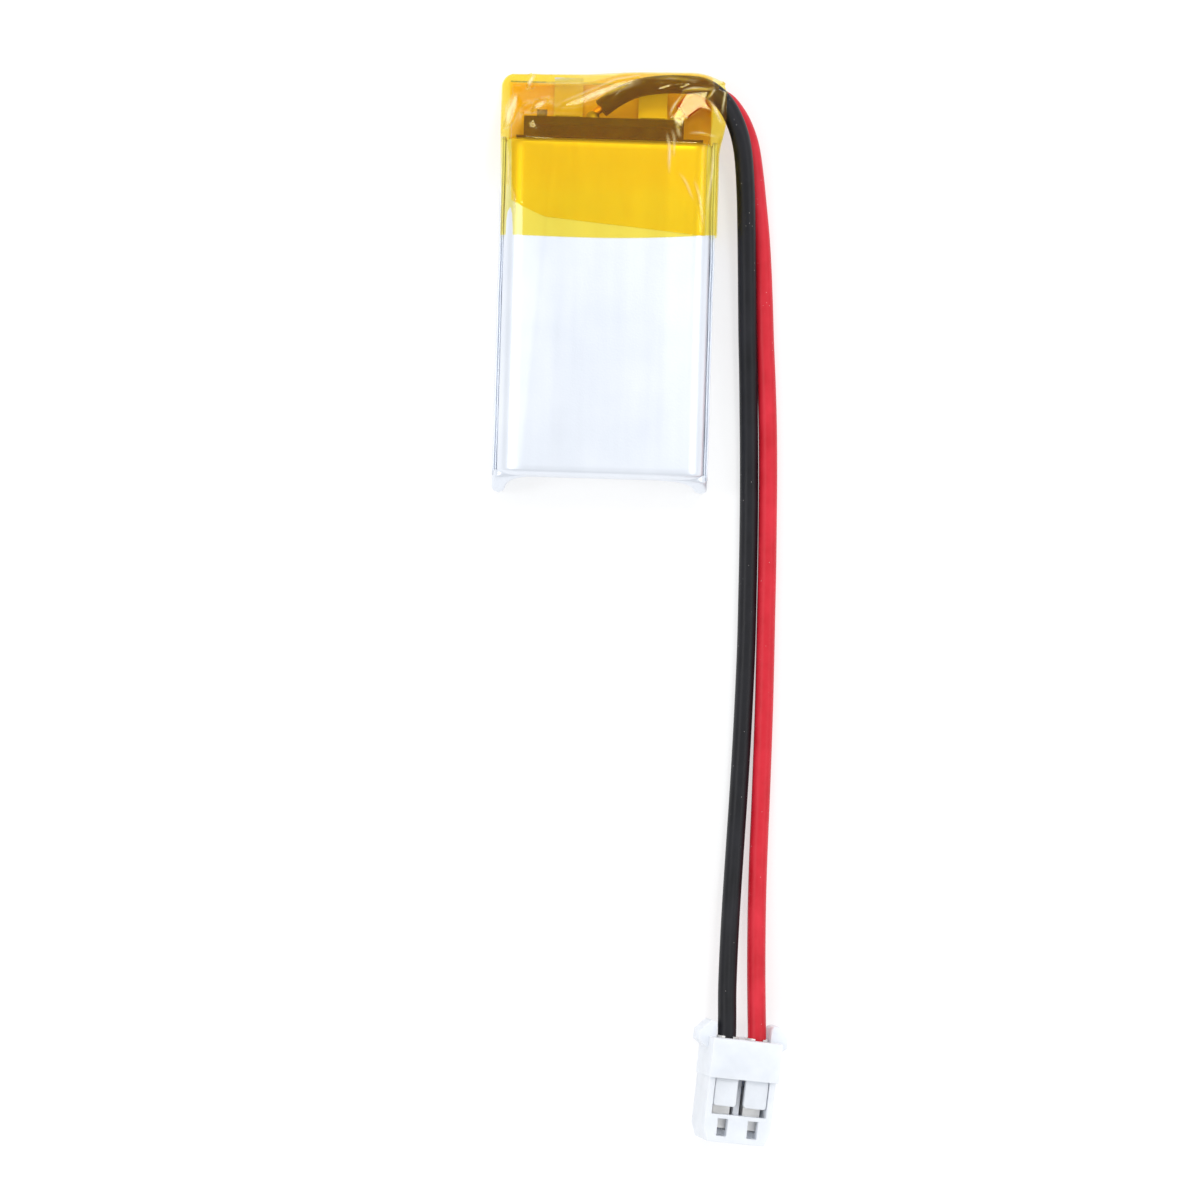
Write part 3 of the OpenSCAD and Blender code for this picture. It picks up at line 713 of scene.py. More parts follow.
def right_side(v):
    """Right border, which flares where the leads come out."""
    flare = 0.27 * ease((v - 0.5) / 0.25)
    corner = np.clip((v - 0.93) / 0.07, 0, 1)
    return 5.32 + flare - 0.22 * (1 - np.sqrt(1 - 0.98 * corner ** 2))


def lower_edge(x):
    """Cut edge across the pouch's face."""
    return 2.04 + np.where(x > -1, 0.34 * (np.clip(x + 1, 0, 9) / 6.3) ** 2, 0.07 * ((x + 1) / 4.2) ** 2)


def head_edge(x):
    """Far border of the tape, past the board."""
    return 10.08 + 0.17 * np.clip((x + 4.7) / 8.6, 0, 1) - 0.17 * np.clip(x - 3.9, 0, 3) ** 1.8


across = np.linspace(0, 1, ACROSS)
across = across - 0.06 * np.sin(2 * math.pi * across)
v_grid, s_grid = np.meshgrid(np.linspace(0, 1, ALONG), across, indexing="ij")
plan_x = left_side(v_grid) + s_grid * (right_side(v_grid) - left_side(v_grid))
plan_y = lower_edge(plan_x) + v_grid * (head_edge(plan_x) - lower_edge(plan_x))
print("tape grid", plan_x.shape)

# %% Borders of the film
def inner_reach(x):
    """Lower border of the first strip, which curves across the face."""
    return 2.73 - 0.09 * x + 0.33 * np.clip(-3 - x, 0, 2) ** 1.2


def side_wall_top(x, y):
    """Height at which the tape turns down at its sides."""
    left = 2.55 - 2.2 * ease((y - 6.7) / 2.7)
    right = 2.62 + 0.12 * ease((y - 6.8) / 1.0) - 1.5 * ease((y - 9.55) / 0.65)
    return np.where(x < 0, left, right)


def head_level(x):
    """Height at which the film ends at the head: flat at the left, over the leads at the right."""
    return 0.34 + 1.75 * ease((x + 1.6) / 3.0) * (1 - 0.35 * ease((x - 4.4) / 1.0))


doubled = ease((plan_y - inner_reach(plan_x)) / 0.1) * ease((4.75 - np.abs(plan_x)) / 0.12)
cling = FACE_Z - face_drop(plan_x, plan_y) + FILM + 0.01 + (FILM + 0.01) * doubled
wall_top = side_wall_top(plan_x, plan_y)
edge_gap = np.minimum(plan_x - plan_x[:, :1], plan_x[:, -1:] - plan_x)
shoulder = np.sqrt(1 - (1 - np.clip(edge_gap / 1.22, 0, 1)) ** 2)
on_cell = wall_top + (cling - wall_top) * shoulder
print("film on the cell at", round(float(on_cell.max()), 2), "mm")

# %% Relax the film
def neighbour_mean(grid):
    """Mean of each point's four neighbours; the grid's border stays as it is."""
    mean = grid.copy()
    mean[1:-1, 1:-1] = (grid[2:, 1:-1] + grid[:-2, 1:-1] + grid[1:-1, 2:] + grid[1:-1, :-2]) / 4
    return mean


floor_level = np.maximum(supports(plan_x, plan_y) + 0.13, 0.2)
past_cell = ease((plan_y - CUP_END) / 2.6)
film = on_cell * (1 - past_cell) + head_level(plan_x) * past_cell
held = plan_y < CUP_END - 0.05
fixed = held.copy()
fixed[-1, :] = True
fixed[:, [0, -1]] = True
pinned = np.where(held, on_cell, np.where(v_grid > 0.999, head_level(plan_x), wall_top))
pinned[:, [0, -1]] = wall_top[:, [0, -1]]
film = np.where(fixed, pinned, film)
for _ in range(1300):
    film = np.where(fixed, pinned, np.maximum(neighbour_mean(film), floor_level))
board_row = int(np.abs(plan_y[:, ACROSS // 2] - 7.65).argmin())
print("film over the board at", round(float(film[board_row, ACROSS // 2]), 2), "mm")

# %% [markdown]
# ## Creases
#
# Tape that is pressed round a corner by hand crumples into small flat facets with sharp
# borders. A facet shows as a bright patch when it happens to mirror a lamp to the eye.
# So a facet is a polygon in which the film is made flat, and it is turned halfway between
# straight up and the direction of its lamp. The lamps' directions are chosen here for that
# reason, and the lamps are put there later.

# %% Lamp directions
# azimuth and elevation in degrees; azimuth 0 is the pack's foot and 90 its right side
LAMP_LEFT, LAMP_RIGHT = (270, 52), (90, 38)
LAMP_HEAD, LAMP_CORNER = (203, 50), (150, 60)
LAMP_DISTANCE = 0.45


def lamp_place(lamp):
    """Where a lamp stands, in its direction from the middle of the pack."""
    azimuth, elevation = (math.radians(a) for a in lamp)
    flat = math.cos(elevation)
    away = Vector((math.sin(azimuth) * flat, -math.cos(azimuth) * flat, math.sin(elevation)))
    return away * LAMP_DISTANCE + Vector((0, -0.015, 0))


def mirror_slopes(lamp, x, y):
    """Rise along X and along Y of a flat at (x, y) that mirrors the lamp to the eye."""
    spot = Vector((x, y, 3)) * MM
    half = (lamp_place(lamp) - spot).normalized() + (camera.location - spot).normalized()
    return -half.x / half.z, -half.y / half.z


print("corner facets rise", [round(v, 2) for v in mirror_slopes(LAMP_CORNER, 4, 8.7)])

# %% Press the film flat inside a polygon
def depth_inside(x, y, corners):
    """Distance to the nearest border of a polygon, negative outside it."""
    inside = np.zeros(x.shape, dtype=bool)
    nearest = np.full(x.shape, 99.0)
    for (ax, ay), (bx, by) in zip(corners, corners[1:] + corners[:1]):
        run_x, run_y = bx - ax, by - ay
        t = np.clip(((x - ax) * run_x + (y - ay) * run_y) / (run_x ** 2 + run_y ** 2), 0, 1)
        nearest = np.minimum(nearest, np.hypot(x - ax - t * run_x, y - ay - t * run_y))
        if run_y:
            inside ^= ((ay > y) != (by > y)) & (x < ax + (y - ay) * run_x / run_y)
    return np.where(inside, nearest, -nearest)


def press(film, corners, lamp):
    """Makes the film flat inside a polygon, turned so that it mirrors a lamp."""
    middle = [sum(c[i] for c in corners) / len(corners) for i in (0, 1)]
    rise_x, rise_y = mirror_slopes(lamp, *middle)
    inside = depth_inside(plan_x, plan_y, corners)
    core = inside > 0.05
    tilt = rise_x * plan_x + rise_y * plan_y
    level = max(float((film - tilt)[core].mean()), float((floor_level - tilt)[core].max()) - 0.06)
    flat = np.minimum(level + tilt, TAPE_TOP)
    blend = ease(inside / 0.12)
    return film * (1 - blend) + flat * blend


print("film grid has", film.size, "points to press")

# %% Facets
facets = [
    # right corner, over the leads: one large facet and a small one beside it
    (LAMP_CORNER, [(3.52, 9.31), (4.91, 9.5), (4.69, 8.86), (5.45, 7.82), (5.0, 8.15), (4.3, 8.3),
                   (3.75, 7.9), (3.45, 7.2), (3.0, 7.7), (2.88, 8.08)]),
    (LAMP_CORNER, [(2.1, 9.5), (3.0, 9.8), (3.0, 9.4), (2.2, 9.15)]),
    # along the upper side of the black lead
    (LAMP_HEAD, [(-2.5, 8.2), (-2.3, 8.65), (-0.9, 9.3), (0.2, 9.8), (1.3, 10.0), (1.7, 9.7),
                 (0.3, 9.25), (-0.7, 8.75), (-1.5, 8.35)]),
    # folded margin at the left
    (LAMP_LEFT, [(-5.2, 7.2), (-5.1, 8.3), (-4.75, 9.1), (-4.4, 9.0), (-4.4, 8.2), (-4.6, 7.5)]),
    (LAMP_LEFT, [(-4.2, 9.3), (-4.0, 10.15), (-3.6, 10.15), (-3.7, 9.3)]),
    (LAMP_LEFT, [(-3.9, 7.95), (-3.7, 8.7), (-2.9, 8.9), (-3.2, 8.2)]),
]
print("facets:", len(facets))

# %% [markdown]
# ## Crumples, wrinkles and pale lines
#
# Between the chosen facets the film past the board is broken up at random. Its plan is shared
# out among scattered seeds, and each share becomes the best plane through its points, which
# gives flats with sharp borders. Noise with fixed inputs scatters the seeds, so that every run
# gives the same film. The facets are pressed in after that.
# Where the film still lies smooth it has a few long wrinkles, which are low ridges along lines. Along folds
# and wrinkles the film is also painted pale, as a painted highlight where it would catch a lamp. How pale is
# stored as an attribute of the mesh, and the finish reads it.

# %% Crumple
def crumple(film, spacing=0.85):
    """Breaks the film past the board into small flats, each the best plane through its part."""
    seeds = []
    for j, y in enumerate(np.arange(8.1, 10.4, spacing * 0.8)):
        for x in np.arange(-5.6, 6, spacing):
            seeds.append((x + 0.35 * noise.noise(Vector((x, y, 2))) + 0.4 * (j % 2),
                          y + 0.5 * noise.noise(Vector((x, y, 9)))))
    nearest = np.argmin([np.hypot(plan_x - x, plan_y - y) for x, y in seeds], axis=0)
    flats = film.copy()
    for k in range(len(seeds)):
        cell = (nearest == k) & ~fixed
        if cell.sum() > 8:
            plane = np.c_[plan_x[cell], plan_y[cell], np.ones(cell.sum())]
            flats[cell] = plane @ np.linalg.lstsq(plane, film[cell], rcond=None)[0]
    flats = neighbour_mean(neighbour_mean(flats))
    share = 0.85 * ease((plan_y - 7.95) / 0.3)
    return np.maximum(film * (1 - share) + flats * share, floor_level - 0.05)


faceted = crumple(film)
for lamp, corners in facets:
    faceted = press(faceted, corners, lamp)
print("film changed by up to", round(float(np.abs(faceted - film).max()), 2), "mm")

# %% Wrinkles
def ridge(x, y, start, end, width, height):
    """A wrinkle along a short line, highest in its middle."""
    (ax, ay), (bx, by) = start, end
    length = math.hypot(bx - ax, by - ay)
    t = ((x - ax) * (bx - ax) + (y - ay) * (by - ay)) / length ** 2
    off = ((x - ax) * (by - ay) - (y - ay) * (bx - ax)) / length
    bend = off + 0.06 * np.sin(5 * t)
    return height * np.clip(1 - np.abs(bend) / width, 0, 1) * np.sin(math.pi * np.clip(t, 0, 1))


# start, end, half width, height
wrinkles = [
    ((2.75, 7.15), (3.05, 5.2), 0.13, 0.055), ((2.95, 7.0), (3.3, 5.6), 0.12, 0.05),
    ((3.3, 5.3), (4.1, 3.9), 0.12, 0.045), ((4.0, 4.6), (4.5, 2.6), 0.12, 0.045),
    ((-5.0, 6.6), (-4.75, 3.2), 0.14, 0.055), ((-4.75, 5.4), (-4.35, 3.1), 0.12, 0.05),
    ((4.9, 6.4), (4.8, 3.0), 0.13, 0.05), ((3.9, 6.9), (5.2, 7.15), 0.12, 0.05),
    ((-4.0, 5.15), (4.3, 5.1), 0.22, 0.012), ((-3.6, 4.35), (3.9, 4.25), 0.2, 0.010),
    ((-5.2, 9.45), (-2.6, 9.6), 0.13, 0.06), ((-2.6, 9.6), (-0.2, 9.8), 0.13, 0.05),
]
lift = sum(ridge(plan_x, plan_y, *wrinkle) for wrinkle in wrinkles)
lift[:, [0, -1]] = 0
film_top = np.minimum(faceted + lift, TAPE_TOP)
print("wrinkles:", len(wrinkles))

# %% Pale lines
# pale lines along folds and wrinkles, painted in as highlights where the tape would catch a lamp
# start, end, half width, how pale
highlight_lines = [
    ((2.72, 7.2), (3.0, 5.2), 0.09, 0.5), ((2.95, 7.4), (3.2, 6.0), 0.08, 0.35),
    ((3.35, 5.3), (4.2, 4.0), 0.08, 0.3), ((4.1, 5.0), (4.75, 2.7), 0.09, 0.35),
    ((4.98, 6.9), (4.85, 3.4), 0.08, 0.45), ((3.8, 7.2), (5.2, 7.2), 0.08, 0.4),
    ((-5.05, 7.1), (-4.6, 9.1), 0.24, 0.65), ((-4.05, 9.2), (-3.75, 10.2), 0.13, 0.7),
    ((-4.9, 9.42), (0.4, 9.75), 0.08, 0.4), ((-4.98, 6.7), (-4.75, 3.6), 0.1, 0.45),
    ((-4.85, 4.9), (-4.3, 2.9), 0.09, 0.4), ((-4.1, 7.9), (-2.7, 8.9), 0.2, 0.4),
    ((-2.3, 8.3), (1.5, 9.9), 0.26, 0.45), ((2.85, 8.0), (3.5, 9.35), 0.08, 0.5),
    ((3.4, 9.3), (5.0, 9.52), 0.09, 0.6), ((4.95, 9.6), (4.66, 8.8), 0.08, 0.5),
    ((4.6, 8.95), (5.5, 7.75), 0.12, 0.6), ((3.0, 8.1), (3.45, 7.0), 0.12, 0.45),
    ((5.42, 9.9), (5.46, 8.2), 0.07, 0.5), ((2.1, 9.85), (4.3, 9.9), 0.1, 0.25),
]
crease_highlight = np.max([ridge(plan_x, plan_y, *line) for line in highlight_lines], axis=0)
crease_highlight = np.maximum(crease_highlight, 0)
print("pale lines:", len(highlight_lines))

# %% [markdown]
# ## The two strips
#
# The outer strip is wound once round the width. Each row of the grid is carried on down the
# right side, along the back and up the left side, so the rows close on themselves. The leads
# come out through an opening in its right side.
# The first strip lies under it and runs the other way: up the face, over the head and down
# the back. Both are modelled as surfaces, and a Solidify modifier gives them their thickness.

# %% Outer strip, wound round the width
WALL, BACK = 10, 30
CORNER, CORNER_MID = 0.3, 0.09


def wall_height(top, k):
    """Height of the k-th point down a side wall, which ends where the corner starts."""
    return top + (CORNER - top) * k / WALL if top > CORNER else top * (1 - k / WALL)


def outer_rows():
    """Rings: over the face, down the right side, along the back and up the left side."""
    rows = []
    for xs, ys, zs in zip(plan_x, plan_y, film_top):
        row = list(zip(xs, ys, zs))
        row += [(xs[-1], ys[-1], wall_height(zs[-1], k)) for k in range(1, WALL)]
        row += [(xs[-1] - CORNER_MID, ys[-1], CORNER_MID), (xs[-1] - CORNER, ys[-1], 0.0)]
        for k in range(1, BACK):
            x = xs[-1] - CORNER + (xs[0] - xs[-1] + 2 * CORNER) * k / BACK
            row.append((x, ys[np.abs(xs - x).argmin()], 0.0))
        row += [(xs[0] + CORNER, ys[0], 0.0), (xs[0] + CORNER_MID, ys[0], CORNER_MID)]
        row += [(xs[0], ys[0], wall_height(zs[0], k)) for k in range(WALL - 1, 0, -1)]
        rows.append(row)
    return rows


def lead_slot(p):
    """The opening in the side of the tape that the leads come out of."""
    return p.x > 5.2 and 8.0 < p.y < 9.75 and 0.72 < p.z < film_top[:, -1].max() - 0.05


outer_ring = outer_rows()
outer_mesh = loft("amber_tape_outer", outer_ring, skip=lead_slot)
# the strength of the painted highlight is stored on the front points of each ring
marks = np.zeros((ALONG, len(outer_ring[0])))
marks[:, :ACROSS] = crease_highlight
outer_mesh.attributes.new("crease_highlight", "FLOAT", "POINT").data.foreach_set("value", marks.ravel())
tape_outer = new_piece("amber_tape_outer", tidy_mesh(outer_mesh, turn_out=False))
print("outer strip:", len(outer_mesh.polygons), "faces")

# %% First strip, folded over the head
STRIP_HALF, STRIP_BACK_END = 4.72, 3.2


def inner_rows():
    """Columns across the strip: each runs up the front, over the head and down the back."""
    middle = plan_x[ALONG // 2]
    rows = []
    for i in [i for i in range(ACROSS) if abs(middle[i]) < STRIP_HALF]:
        start = (float(inner_reach(middle[i])) - plan_y[0, i]) / (plan_y[-1, i] - plan_y[0, i])
        fold = 0.93 + 0.055 * float(ease((middle[i] + 1.6) / 2.2))
        path = []
        for v in np.linspace(start, fold, 110):
            x, y, z = (float(np.interp(v, v_grid[:, 0], grid[:, i])) for grid in (plan_x, plan_y, film_top))
            path.append([x, y, z - (FILM + 0.012)])
        x, y, z = path[-1]
        for k in range(1, 9):
            a = math.pi * k / 9
            path.append([x, y + 0.06 * math.sin(a), 0.085 + (z - 0.085) * (1 + math.cos(a)) / 2])
        path += [[x, float(back_y), 0.062] for back_y in np.linspace(y, STRIP_BACK_END, 26)]
        rows.append(path)
    return rows


inner_mesh = loft("amber_tape_inner", inner_rows(), closed=False)
tape_inner = new_piece("amber_tape_inner", tidy_mesh(inner_mesh, turn_out=False))
for piece in (tape_outer, tape_inner):
    wall = piece.modifiers.new("film", "SOLIDIFY")
    wall.thickness = FILM * MM
    wall.offset = -1
print("first strip:", len(inner_mesh.polygons), "faces")

# %% [markdown]
# ## Amber film
#
# Polyimide film is clear but strongly amber: it lets red and green through and stops blue.
# One layer over white looks lemon, two look orange, and that comes by itself if the finish
# is a tinted see-through shader and the layers are real. Each film has two faces, so the
# tint of one face is the square root of the film's.
# The glue under it scatters a little light, which is why dark parts below look brown. A small
# share of plain amber gives that haze. Gloss lies over everything, weak where the film is
# looked at square on and strong at a glancing angle, the same for both faces of the film.
# The first strip is more amber past a soft line across it, towards the head, and the outer strip gets a
# painted highlight, a pale diffuse colour, where its attribute says so.

# %% Film finish
def film_finish(name, haze, banded):
    """Tinted see-through film: banded like the first strip, or with painted highlights like the outer one."""
    finish, tree, output, place = new_finish(name)
    waves = grain(tree, place, 1.2, 3)
    scuff = grain(tree, place, 3.5, 4, (1, 5, 1))
    surface = relief(tree, waves, 0.008, 1, relief(tree, scuff, 0.0015))
    along = put(tree, "ShaderNodeSeparateXYZ", s0=place).outputs["Y"]
    cloud = span(tree, grain(tree, place, 0.5, 3, (4, 1, 1)), -0.0009, 0.0009)
    # the first strip turns deeper amber between 4.1 and 5.2 mm up the pack and stays so towards the head
    band = span(tree, calculate(tree, "ADD", along, cloud), 0.0, float(banded), start=0.0041, end=0.0052)
    mottle = span(tree, grain(tree, place, 0.9, 4, (1, 2, 1)), -0.4, 0.4)
    tint = ramp(tree, calculate(tree, "ADD", band, mottle),
                [(0.0, (1.0, 0.955, 0.55)), (1.0, (1.0, 0.936, 0.50))])
    clear = put(tree, "ShaderNodeBsdfTransparent", Color=tint).outputs[0]
    glue_tone = ramp(tree, waves, [(0.3, (0.97, 0.27, 0.004)), (0.7, (1.0, 0.36, 0.007))])
    glue = put(tree, "ShaderNodeBsdfDiffuse", Color=glue_tone, Normal=surface).outputs[0]
    body = mix_shaders(tree, span(tree, scuff, haze * 0.6, haze * 1.4), clear, glue)
    if not banded:
        # painted highlight: a pale diffuse colour mixed in along the marked lines
        highlight_mark = put(tree, "ShaderNodeAttribute", {"attribute_name": "crease_highlight"}).outputs["Fac"]
        highlight_share = calculate(tree, "MULTIPLY", highlight_mark, span(tree, scuff, 0.2, 1.6))
        pale = put(tree, "ShaderNodeBsdfDiffuse", Color=(1.0, 0.9, 0.62, 1), Normal=surface).outputs[0]
        body = mix_shaders(tree, highlight_share, body, pale)
    gloss = put(tree, "ShaderNodeBsdfGlossy", Color=(1, 1, 1, 1), Normal=surface,
                Roughness=span(tree, scuff, 0.05, 0.12)).outputs[0]
    facing = put(tree, "ShaderNodeLayerWeight", Blend=0.5, Normal=surface).outputs["Facing"]
    grazing = calculate(tree, "POWER", facing, 5.0)
    whole = mix_shaders(tree, span(tree, grazing, 0.012, 0.7), body, gloss)
    tree.links.new(whole, output.inputs[0])
    return finish


film_outer = film_finish("amber_film_outer", haze=0.028, banded=False)
film_inner = film_finish("amber_film_inner", haze=0.026, banded=True)
for piece, finish in ((tape_outer, film_outer), (tape_inner, film_inner)):
    piece.data.materials.clear()
    piece.data.materials.append(finish)
print("film finishes ready")

# %% [markdown]
# ## The plug
#
# The nylon housing keeps the CAD shape, with its windows, latch tongues and ears. Moulded
# edges are never razor sharp, though, and a small round on them is what catches the light.
# The CAD mesh is loose triangles, so a copy is merged, its flat areas are dissolved back
# into whole faces, and a Bevel modifier rounds every edge.

# %% Rounded housing
def rounded_copy(node, name, width_mm, segments=2):
    """A copy of a CAD node with welded points, whole faces and rounded edges."""
    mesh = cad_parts[node].data.copy()
    mesh.name = name
    work = bmesh.new()
    work.from_mesh(mesh)
    bmesh.ops.remove_doubles(work, verts=work.verts, dist=0.002 * MM)
    bmesh.ops.dissolve_limit(work, angle_limit=math.radians(1), verts=work.verts, edges=work.edges)
    work.to_mesh(mesh)
    work.free()
    mesh.shade_smooth()
    piece = new_piece(name, mesh)
    edge = piece.modifiers.new("edge", "BEVEL")
    edge.width = width_mm * MM
    edge.segments = segments
    edge.limit_method = "ANGLE"
    edge.angle_limit = math.radians(25)
    edge.harden_normals = True
    return piece


housing = rounded_copy("plug_housing", "nylon_housing", 0.06)
print("housing:", len(housing.data.polygons), "faces before rounding")

# %% [markdown]
# ## Nylon, tin and the rest
#
# White nylon lets a little light into its edges, so it has some subsurface scattering and a
# fine spark-eroded texture. The contacts are bright tin over bronze.
# The parts inside the pouch are never seen, but each still gets a finish of its own: foil, graphite, paper
# and board are all easy to tell apart if the pack is taken apart. The tin on the chip legs and caps, the
# solder and the board's insulating paper are painted darker than they are, as painted shade in the gap
# between board and pouch.
# One recipe is enough for all of them, so the finishes are written as tables: a darker and a
# lighter colour, the range of roughness, and whatever else is special about the finish.

# %% Finishes from two noises
def plain_finish(name, dark, light, rough, metallic=0.0, per_mm=6.0, depth=0.004, stretch=(1, 1, 1)):
    """A finish whose colour, roughness and relief all follow one noise."""
    finish, tree, output, place = new_finish(name)
    mottle = grain(tree, place, per_mm, 3, stretch)
    cloud = grain(tree, place, per_mm / 7, 2)
    skin = put(tree, "ShaderNodeBsdfPrincipled", Base_Color=ramp(tree, cloud, [(0.3, dark), (0.7, light)]),
               Metallic=metallic, Roughness=span(tree, mottle, rough[0], rough[1]),
               Normal=relief(tree, mottle, depth))
    tree.links.new(skin.outputs[0], output.inputs[0])
    return finish


def make_finishes(table):
    """Makes every finish of a table, and gives them back by name."""
    return {name: plain_finish(name, *looks, **special) for name, (looks, special) in table.items()}


def skin_of(finish):
    """The main shader of a plain finish."""
    return finish.node_tree.nodes["Principled BSDF"]


nylon = plain_finish("white_nylon", (0.76, 0.79, 0.84), (0.81, 0.84, 0.89), (0.38, 0.5),
                     per_mm=9, depth=0.003)
skin_of(nylon).inputs["Subsurface Weight"].default_value = 0.5
skin_of(nylon).inputs["Subsurface Radius"].default_value = (0.4, 0.4, 0.4)
skin_of(nylon).inputs["Subsurface Scale"].default_value = 0.0012
print("nylon scatters up to", round(0.4 * 1.2, 2), "mm deep")

# %% Metals
drawn = {"depth": 0.002, "per_mm": 5, "stretch": (1, 9, 9)}
metals = make_finishes({
    "bright_tin": [((0.80, 0.79, 0.77), (0.92, 0.91, 0.89), (0.3, 0.42)), {"metallic": 0.55}],
    # chip legs and caps: tin painted near black, painted shade of the gap under the tape
    "tin_with_painted_shade": [((0.10, 0.09, 0.08), (0.18, 0.17, 0.15), (0.4, 0.55)),
                 {"metallic": 1.0, "per_mm": 8, "depth": 0.006}],
    # solder painted dark grey: painted shade
    "solder": [((0.30, 0.28, 0.25), (0.48, 0.46, 0.42), (0.3, 0.5)),
               {"metallic": 1.0, "per_mm": 3, "depth": 0.01}],
    "nickel": [((0.66, 0.60, 0.50), (0.80, 0.74, 0.64), (0.3, 0.42)),
               {"metallic": 1.0, **drawn, "depth": 0.0008}],
    "aluminium_tab": [((0.92, 0.86, 0.76), (0.98, 0.94, 0.86), (0.3, 0.45)), {"metallic": 0.6, **drawn}],
    "copper_pad": [((0.72, 0.36, 0.18), (0.86, 0.50, 0.28), (0.2, 0.36)), {"metallic": 1.0}],
    "strand_copper": [((0.70, 0.32, 0.14), (0.92, 0.55, 0.32), (0.25, 0.4)),
                      {"metallic": 1.0, "per_mm": 12, "depth": 0.01}],
})
print("metals:", len(metals))

# %% Board, papers and the cell's inside
matt = make_finishes({
    "board_resist": [((0.010, 0.012, 0.010), (0.02, 0.022, 0.016), (0.3, 0.42)), {"per_mm": 8}],
    "chip_mould": [((0.015, 0.015, 0.016), (0.03, 0.03, 0.032), (0.5, 0.65)), {"per_mm": 14}],
    "resistor_body": [((0.01, 0.01, 0.012), (0.03, 0.03, 0.034), (0.25, 0.4)), {}],
    "capacitor_body": [((0.10, 0.06, 0.035), (0.15, 0.10, 0.06), (0.35, 0.5)), {}],
    "dark_foam": [((0.012, 0.010, 0.008), (0.05, 0.042, 0.034), (0.8, 0.95)), {"per_mm": 9, "depth": 0.03}],
    # board insulator painted dark brown: painted shade between board and pouch
    "fish_paper_with_painted_shade": [((0.05, 0.035, 0.025), (0.09, 0.065, 0.045), (0.7, 0.85)), {"per_mm": 10}],
    "barley_paper": [((0.96, 0.60, 0.04), (0.99, 0.72, 0.09), (0.7, 0.85)), {"per_mm": 10, "depth": 0.008}],
    "seal_film": [((0.80, 0.80, 0.78), (0.88, 0.88, 0.86), (0.3, 0.4)), {}],
    "cathode_coat": [((0.03, 0.03, 0.032), (0.06, 0.06, 0.062), (0.6, 0.8)), {"per_mm": 12}],
    "anode_coat": [((0.05, 0.045, 0.045), (0.09, 0.08, 0.075), (0.55, 0.75)), {"per_mm": 12}],
    "separator": [((0.82, 0.83, 0.84), (0.90, 0.90, 0.91), (0.35, 0.5)), {"per_mm": 8}],
    "winding_tape": [((0.02, 0.30, 0.16), (0.04, 0.42, 0.24), (0.25, 0.4)), {}],
})
print("matt finishes:", len(matt))

# %% Give every CAD node its finish
wears = {
    "cathode_coat": ["cathode_winding"], "anode_coat": ["anode_winding"],
    "separator": ["separator_inner", "separator_outer"], "winding_tape": ["winding_tape"],
    "aluminium_tab": ["positive_tab"], "nickel": ["negative_tab", "positive_strip", "negative_strip"],
    "seal_film": ["positive_tab_seal", "negative_tab_seal"],
    "barley_paper": ["terrace_insulator"], "fish_paper_with_painted_shade": ["board_insulator"], "dark_foam": ["foam_strip"],
    "board_resist": ["circuit_board"], "copper_pad": ["board_pads"],
    "chip_mould": ["protection_chip", "switch_chip"], "tin_with_painted_shade": ["chip_legs", "component_caps"],
    "resistor_body": ["resistors"], "capacitor_body": ["capacitor"], "solder": ["solder_joints"],
    "strand_copper": ["strands_black", "strands_red"], "bright_tin": ["terminal_black", "terminal_red"],
}
for finish_name, nodes in wears.items():
    for node in nodes:
        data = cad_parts[node].data
        data.materials.clear()
        data.materials.append({**metals, **matt}[finish_name])
housing.data.materials.clear()
housing.data.materials.append(nylon)
print("finished nodes:", sum(len(nodes) for nodes in wears.values()))

# %% [markdown]
# ## Floor and light
#
# The pack lies on a white table that glows a little, as a light table does, so that it stays
# white under weak lamps and also lights the pack from below.
# There is one lamp at each side of the pack, one past its head and one past the corner where
# the leads come out. All are well off the line of sight, so that flat tape mirrors nothing
# bright and keeps its colour, while facets and rounded edges each find a lamp to mirror.
# A soft white world fills the shadows.

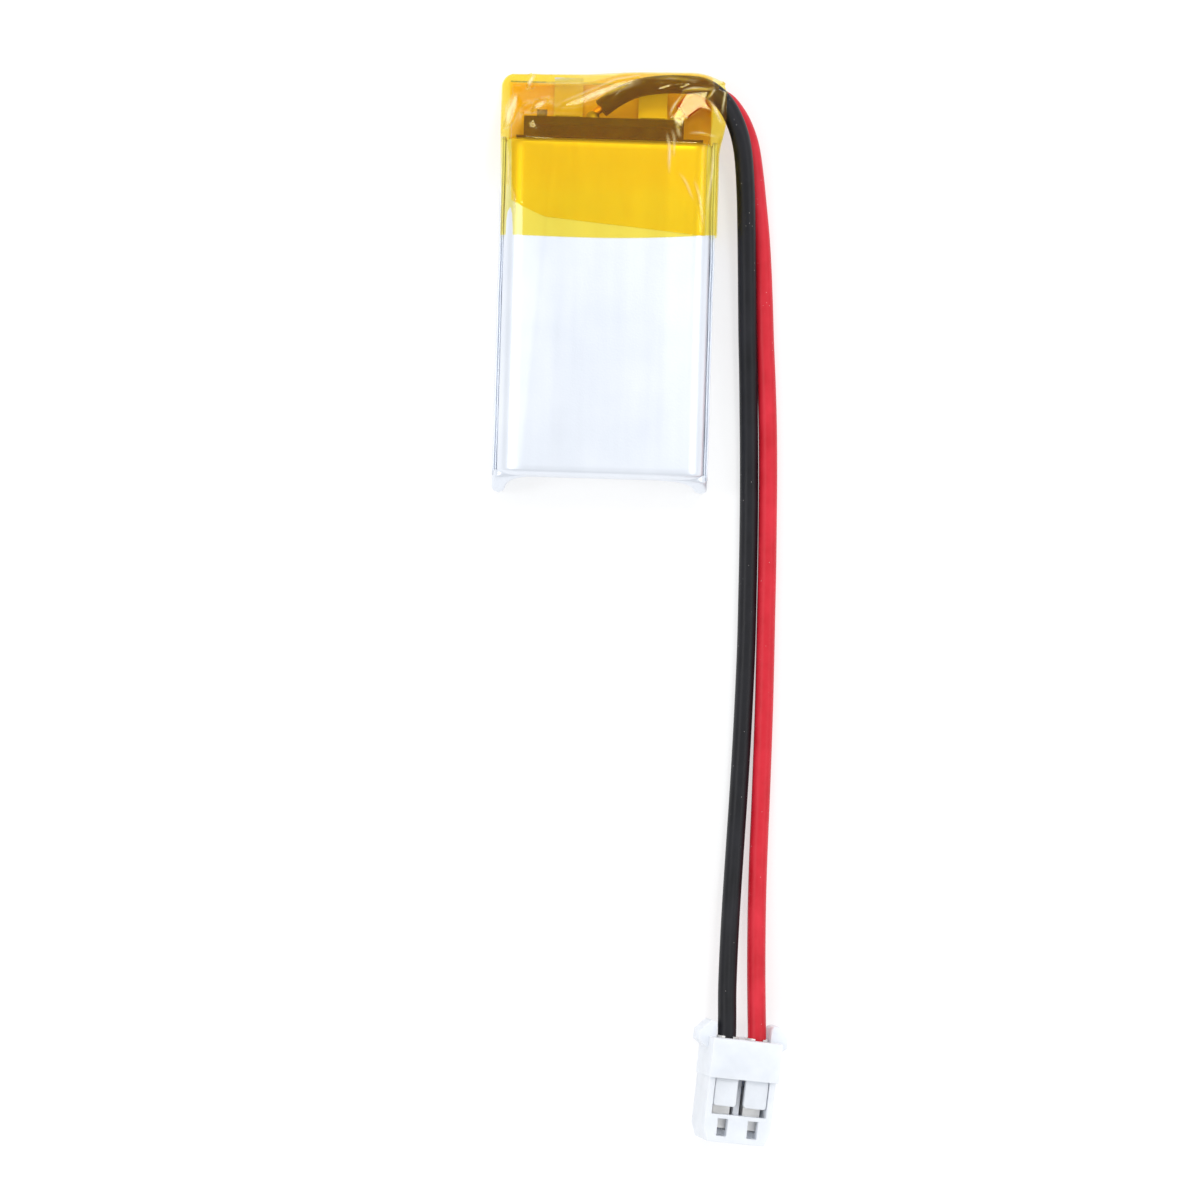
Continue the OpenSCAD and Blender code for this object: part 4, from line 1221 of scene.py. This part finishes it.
# %% Floor
TABLE_HALF, TABLE_TOP = 0.6, -0.00002
table_finish = plain_finish("white_table", (0.45, 0.45, 0.45), (0.47, 0.47, 0.47), (0.6, 0.7),
                            per_mm=0.02, depth=0.002)
skin_of(table_finish).inputs["Emission Color"].default_value = (1, 1, 1, 1)
skin_of(table_finish).inputs["Emission Strength"].default_value = 0.56
table_mesh = bpy.data.meshes.new("white_table")
table_corners = [(x * TABLE_HALF, y * TABLE_HALF, TABLE_TOP) for x, y in ((-1, -1), (1, -1), (1, 1), (-1, 1))]
table_mesh.from_pydata(table_corners, [], [(0, 1, 2, 3)])
table_mesh.materials.append(table_finish)
table = new_piece("white_table", table_mesh)
print("table is", 2 * TABLE_HALF, "m wide")

# %% Lamps
def softbox(name, lamp, width, power):
    """A square lamp that faces the pack from its direction."""
    light = bpy.data.lights.new(name, "AREA")
    light.size = width
    light.energy = power
    holder = bpy.data.objects.new(name, light)
    holder.location = lamp_place(lamp)
    holder.rotation_euler = lamp_place(lamp).to_track_quat("Z", "Y").to_euler()
    bpy.context.scene.collection.objects.link(holder)
    return holder


softbox("lamp_left", LAMP_LEFT, 0.09, 0.26)
softbox("lamp_right", LAMP_RIGHT, 0.12, 0.18)
softbox("lamp_head", LAMP_HEAD, 0.08, 0.17)
softbox("lamp_corner", LAMP_CORNER, 0.08, 0.36)
world = bpy.data.worlds.new("studio")
world.use_nodes = True
sky = world.node_tree.nodes["Background"]
sky.inputs["Color"].default_value = (0.97, 0.985, 1.0, 1)
sky.inputs["Strength"].default_value = 0.83
bpy.context.scene.world = world
print("lamps:", len(bpy.data.lights))

# %% [markdown]
# ## Attach the pieces to the root body
#
# Every piece is parented to the root body, and the CAD node that it stands for is hidden.

# %% Pieces
stands_for = {
    cup_skin: ("pouch_cup", "pouch_laminate"),
    cover_skin: ("pouch_cover", "pouch_laminate"),
    tape_outer: ("tape_outer", "polyimide"),
    tape_inner: ("tape_inner", "polyimide"),
    housing: ("plug_housing", "white_nylon"),
    lead_black: ("lead_black", "black_insulation"),
    lead_red: ("lead_red", "red_insulation"),
}
for piece, (node, slot_name) in stands_for.items():
    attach(piece, "root")
    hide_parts(node)
